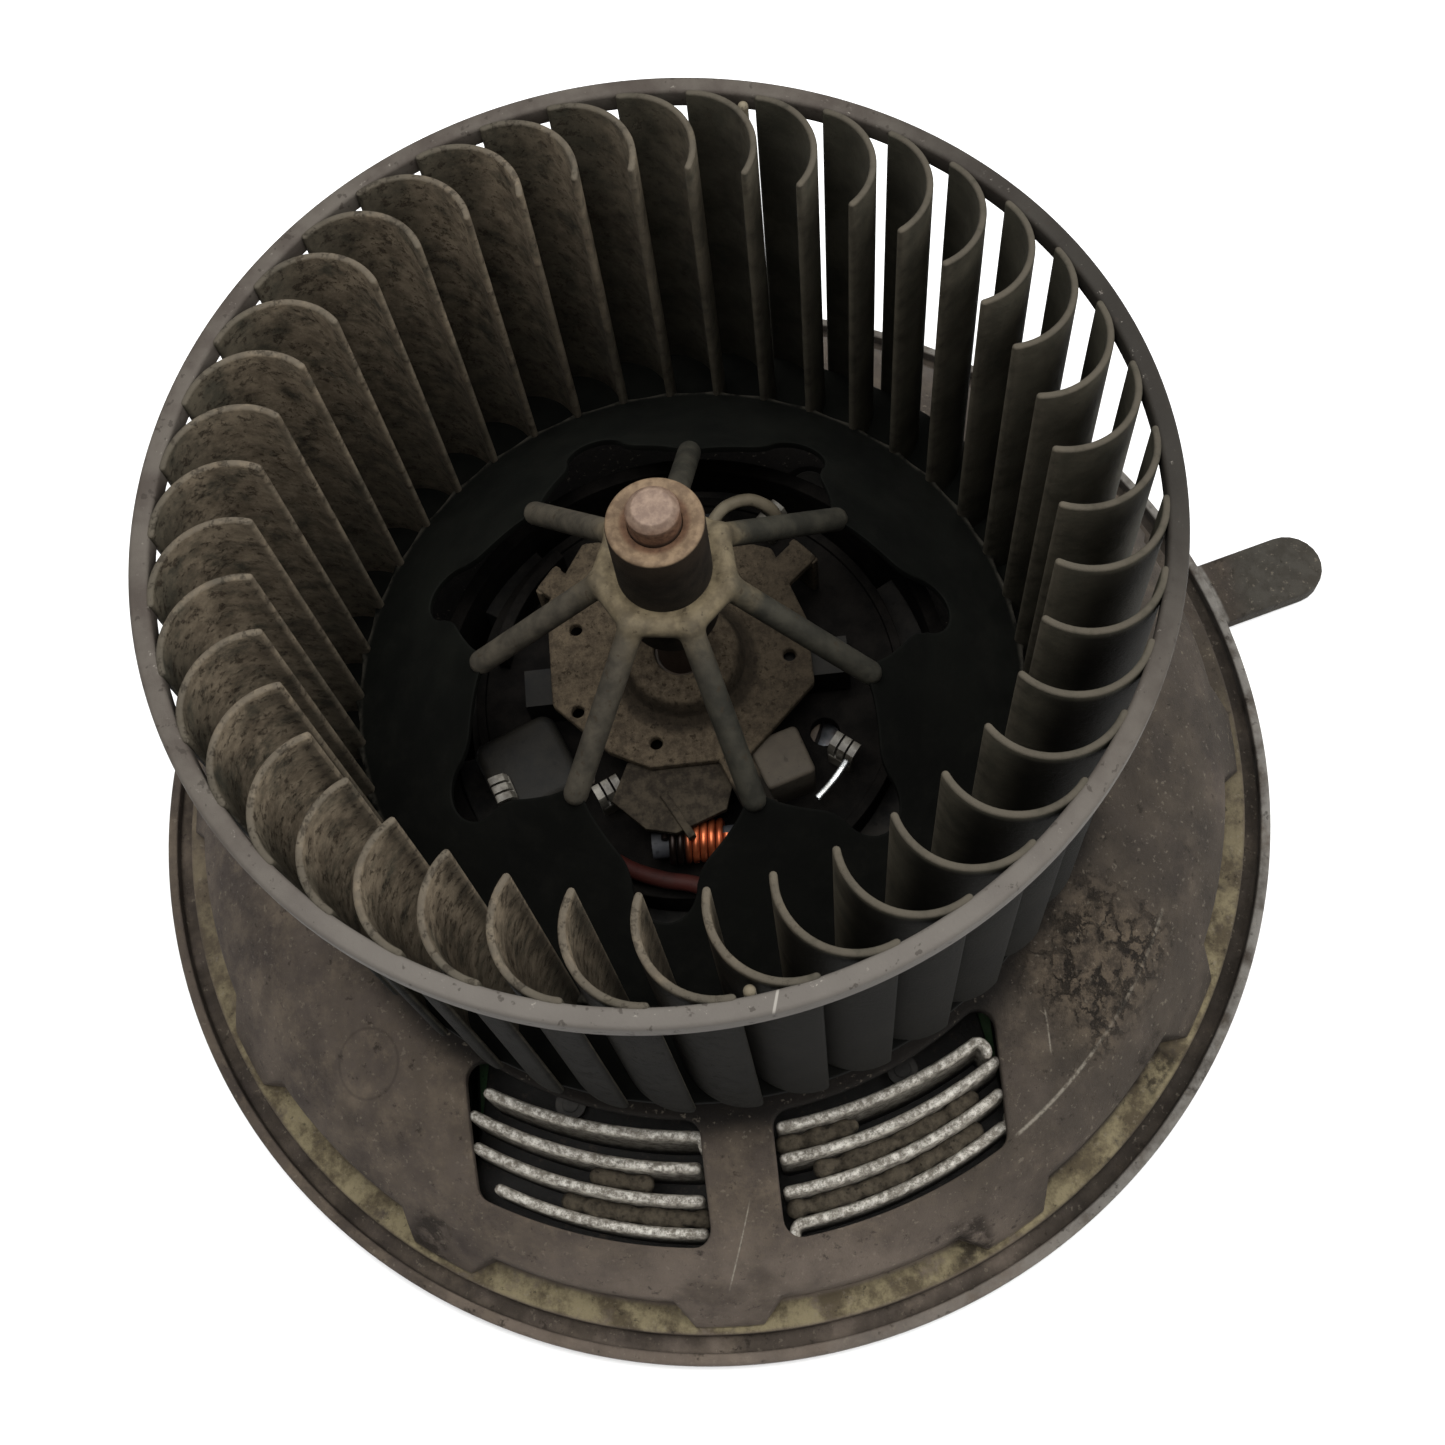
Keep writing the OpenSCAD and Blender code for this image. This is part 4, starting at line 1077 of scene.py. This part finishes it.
def heat_sink():
    fins = []
    for side in (-1, 1):
        for k in range(FINS):
            path = fin_path(k, side)
            if (side, k) == (-1, 0):
                path = hook(path, side, -1)
            if (side, k) == (1, 3):
                path = hook(path, side, -1)
            if (side, k) in ((1, 0), (1, 3)):
                path = hook(path[::-1], -side, 1 if k else -1)
            fins.append(wall(path, FIN_HALF, SINK_TOP - 0.2, dome_top(FIN_FIRST + k * FIN_PITCH) - 2.0, 0.8))
    base_low = low("heat_sink").z
    base = [polar(93.5, a) for a in range(-122, -57, 2)] + [polar(66, a) for a in range(-48, -133, -3)]
    outline = [(max(-SINK_HALF, min(SINK_HALF, x)), y) for x, y in base]
    plate = sheet(outline, [], lambda *_: SINK_TOP, lambda *_: base_low, edge=0.4, grid=6)
    piece("fins", joined(*fins, plate), "housing", "aluminium", MATERIALS["aluminium"], "heat_sink")


def fin_lint():
    """Lumps of dust that bridge the gaps between some fins."""
    lumps = []
    for side, k, begin, end in LINT:
        lower, upper = fin_path(k, side), fin_path(k + 1, side)
        top = dome_top(FIN_FIRST + (k + 0.5) * FIN_PITCH) - 5.5
        mid = [((a[0] + b[0]) / 2, (a[1] + b[1]) / 2) for a, b in zip(lower, upper)][begin:end]
        for i, (x, y) in enumerate(mid):
            swell = 1.7 + 0.25 * math.sin(2.1 * i + k) + 0.15 * math.sin(5.3 * i)
            lumps.append(ball((x, y, top + 0.4 * math.sin(1.7 * i + side)), swell, 8, 12))
    obj = piece("fin_lint", joined(*lumps), "housing", "aluminium", MATERIALS["lint"])
    melted(obj, 0.5, 3)


# ---------- the motor's open end ----------


PLATE_OUTLINE = [(-7.3, -18), (9, -18), (21.6, -6), (21.6, 6), (17, 20), (4, 25), (-16, 25), (-23, 14),
                 (-23, -5), (-14, -14.5)]
PLATE_HOLES = [(-6, -13.8), (17.9, -0.5), (18.5, 14.7), (-18.2, 8.6), (-18.8, -6.6)]
LEG_ANGLES = (40, 140, 291)
LEG_R = (18, 30)
LEG_HALF = 2.6


def end_plate():
    """Steel plate with its bearing dome and the legs that stand on the brush card."""
    holes = [circle(1.1, 0.5, p) for p in PLATE_HOLES]
    flat = sheet(rounded(PLATE_OUTLINE, 1.2), holes + [circle(5.4, 0.8)], lambda *_: PLATE_Z + PLATE_T,
                 lambda *_: PLATE_Z, edge=0.4, grid=3, spacing=0.8)
    profile = [(13, 0.3), (13, 1.6, 0.4), (11.6, 2.0, 0.8), (10.4, 3.2, 1.2), (9.4, 7.2, 1.6), (4.6, 8.0, 0.5),
               (4.6, 6.8), (8.6, 6.2), (9.2, 0.3)]
    dome = lathe([(r, PLATE_Z + z) for r, z in rounded(profile, 0.2)], 72)
    bar = [(LEG_R[0], -LEG_HALF), (LEG_R[1], -LEG_HALF), (LEG_R[1], LEG_HALF), (LEG_R[0], LEG_HALF)]
    top = sheet(rounded(bar, 0.6), [], lambda *_: PLATE_Z + PLATE_T + 0.02, lambda *_: PLATE_Z, edge=0.4,
                grid=3)
    drop = moved(block(1.4, 6, CARD_Z + 0.6, PLATE_Z + 1.2, 0.4, 0.2), (LEG_R[1] - 0.7, 0, 0))
    legs = [moved(joined(top, drop), (0, 0, 0), a) for a in LEG_ANGLES]
    piece("end_plate_steel", joined(flat, dome, *legs), "housing", "plate_steel", MATERIALS["plate_steel"],
          "end_plate")


def choke(name, turn, node):
    """Copper wire wound on its ferrite rod, one helix."""
    turns, wire, r = 8, 1.3, 3.0
    centre_x, centre_r, z = -1, 29.4, 54.2
    steps = 20
    path = []
    for i in range(turns * steps + 1):
        a = TAU * i / steps
        along = centre_x + (i / steps - turns / 2) * wire
        path.append((along, -centre_r + r * math.sin(a), z + r * math.cos(a)))
    coil = moved(sweep(path, wire / 2 - 0.03, 10), (0, 0, 0), turn)
    piece(name, coil, "housing", "copper", MATERIALS["coil"], node)


# Terminals: x, y, the height each stands on, its turn and its own height
CLIPS = ((-14.6, -20.2, CARD_Z, 25, 6.5), (24.6, -17, CARD_Z, -40, 6.5), (18.6, 28.4, CARD_Z, 45, 6.5),
         (-31.5, -17.6, high("relay_box").z, 110, 2.2))


def clips():
    """Folded spring-steel terminals, and a curved bright steel strip beside one of them that gives a painted
    highlight.
    """
    parts = []
    for x, y, floor, turn, tall in CLIPS:
        path = [(0, 0), (0, tall - 1.3), (0.5, tall - 0.3), (1.4, tall), (2.5, tall)]
        loop = capsule(path, 0.42, 4)
        for u in (-1.7, 0, 1.7):
            strip = stack([[(u + w, p.x, p.y + 0.4) for p in loop] for w in (-0.65, -0.55, 0.55, 0.65)])
            parts.append(moved(strip, (x, y, floor), turn))
        parts.append(moved(block(4.6, 1.2, 0, tall * 0.55, 0.4, 0.3), (x, y, floor), turn))
    piece("clips", joined(*parts), "housing", "bright_steel", MATERIALS["clip_steel"], "terminal_clips")
    # painted highlight: a thin bright steel arc placed for the bright glint beside the can
    strip = lathe(rounded([(30.9, 55.0), (32.0, 55.0), (32.0, 55.9), (30.9, 55.9)], 0.3), 24, -51, 15)
    piece("highlight_strip", strip, "housing", "bright_steel", MATERIALS["bright_steel"])


def boxes():
    """Moulded blocks on the brush card."""
    top = high("relay_box").z
    foot = moved(block(9, 11, CARD_Z, CARD_Z + 1, 1.5, 0.2), (-26, -13.5, 0), 22)
    body = moved(block(15, 15, CARD_Z + 0.8, top, 2.5, 1.6), (-28.5, -13.4, 0), 22)
    piece("relay", joined(foot, body), "housing", "grey_plastic", MATERIALS["dark_cover"], "relay_box")
    top = high("suppressor_block").z
    pale = moved(block(9, 9, CARD_Z, top, 1.0, 0.7), (14.6, -18, 0), 17)
    piece("suppressor", pale, "housing", "pale_plastic", MATERIALS["pale_plastic"], "suppressor_block")


# ---------- leads ----------

RED_ROUTE = [(-7, -62.5, 8), (-4, -61, 12), (3, -58, 18), (7, -55.8, 23), (7, -55.5, 28), (7, -55.5, 35),
             (7, -54.5, 40), (6.8, -51.5, 46), (6, -47.5, 51), (4.6, -43.2, 53.6), (2.4, -39.2, 53.5),
             (-2, -36.3, 52.6), (-7, -34.8, 52.1), (-12, -32.6, 51.8), (-16, -29.8, 51.3)]
CREAM_ROUTE = [(7, -62.5, 8), (10, -61, 12), (17, -58, 18), (21, -55.8, 23), (21, -55.5, 28), (21, -55.5, 35),
               (20.5, -54, 40), (19.4, -50.5, 46), (17.6, -46, 51), (15.6, -41, 53.6), (14, -37, 53.5),
               (12.8, -34, 52.8), (12, -32, 50.6)]

PIGTAIL_ROUTE = [(6.5, 25.8, 56), (6.8, 26.8, 59), (9.6, 29.6, 60.2), (14.0, 30.6, 60.2), (17.6, 29.6, 58),
                 (18.8, 28.6, 55)]


def leads():
    """The two motor leads, and the cream pigtail of the rear brush."""
    for name, route, node in (("red_lead", RED_ROUTE, "lead_red"), ("cream_lead", CREAM_ROUTE, "lead_cream")):
        piece(name, sweep(smooth_path(route), 1.45, 14), "housing", node, MATERIALS[node], node)
    piece("pigtail", sweep(smooth_path(PIGTAIL_ROUTE), 1.15, 12), "housing", "lead_cream", MATERIALS["lead_cream"])


# ---------- stage ----------


def stage():
    floor = bpy.data.objects.new("floor", bpy.data.meshes.new("floor"))
    work = bmesh.new()
    bmesh.ops.create_grid(work, x_segments=8, y_segments=8, size=4)
    work.to_mesh(floor.data)
    work.free()
    scene.collection.objects.link(floor)
    floor.location.z = cad_box[0].z - 0.0004
    s = Shade("floor", 0.9, 0.0, 0.1)
    pale = s.mix(s.noise(300, 2), (0.86, 0.86, 0.86, 1), (0.9, 0.9, 0.9, 1))
    floor.data.materials.append(s.finish(pale))


def light(name, place, size, power, aim=(0, 0, 0.06)):
    lamp = bpy.data.lights.new(name, "AREA")
    lamp.size = size
    lamp.energy = power
    obj = bpy.data.objects.new(name, lamp)
    obj.location = place
    obj.rotation_euler = (Vector(place) - Vector(aim)).to_track_quat("Z", "Y").to_euler()
    scene.collection.objects.link(obj)


def lights():
    world = bpy.data.worlds.new("studio")
    scene.world = world
    world.use_nodes = True
    world.node_tree.nodes["Background"].inputs[0].default_value = (1, 1, 1, 1)
    world.node_tree.nodes["Background"].inputs[1].default_value = 0.55
    light("key", (-0.1, 0.05, 1.05), 0.7, 13)
    light("fill", (0.8, 0.0, 0.75), 0.8, 10)
    scene.view_settings.view_transform = "Standard"


def camera():
    data = bpy.data.cameras.new("camera")
    data.sensor_width = 36
    data.lens = 46.83
    data.shift_x = 0.014
    data.shift_y = -0.071
    data.clip_start = 0.01
    cam = bpy.data.objects.new("camera", data)
    right = Vector((0.9933, -0.0889, -0.0735))
    up = Vector((0.1113, 0.9066, 0.4069))
    back = Vector((0.0305, -0.4124, 0.9105))
    turn = Matrix((right, up, back)).transposed().to_4x4()
    cam.matrix_world = Matrix.Translation((0.01359, -0.12572, 0.3562)) @ turn
    scene.collection.objects.link(cam)
    scene.camera = cam


paint_cad()
wheel_ring()
wheel_blades()
back_disc()
spider()
hub()
shaft()
flange()
heat_sink()
fin_lint()
end_plate()
choke("coil_front", 0, "choke_coil_a")
choke("coil_back", 180, "choke_coil_b")
clips()
boxes()
leads()
stage()
lights()
camera()

bpy.context.view_layer.update()
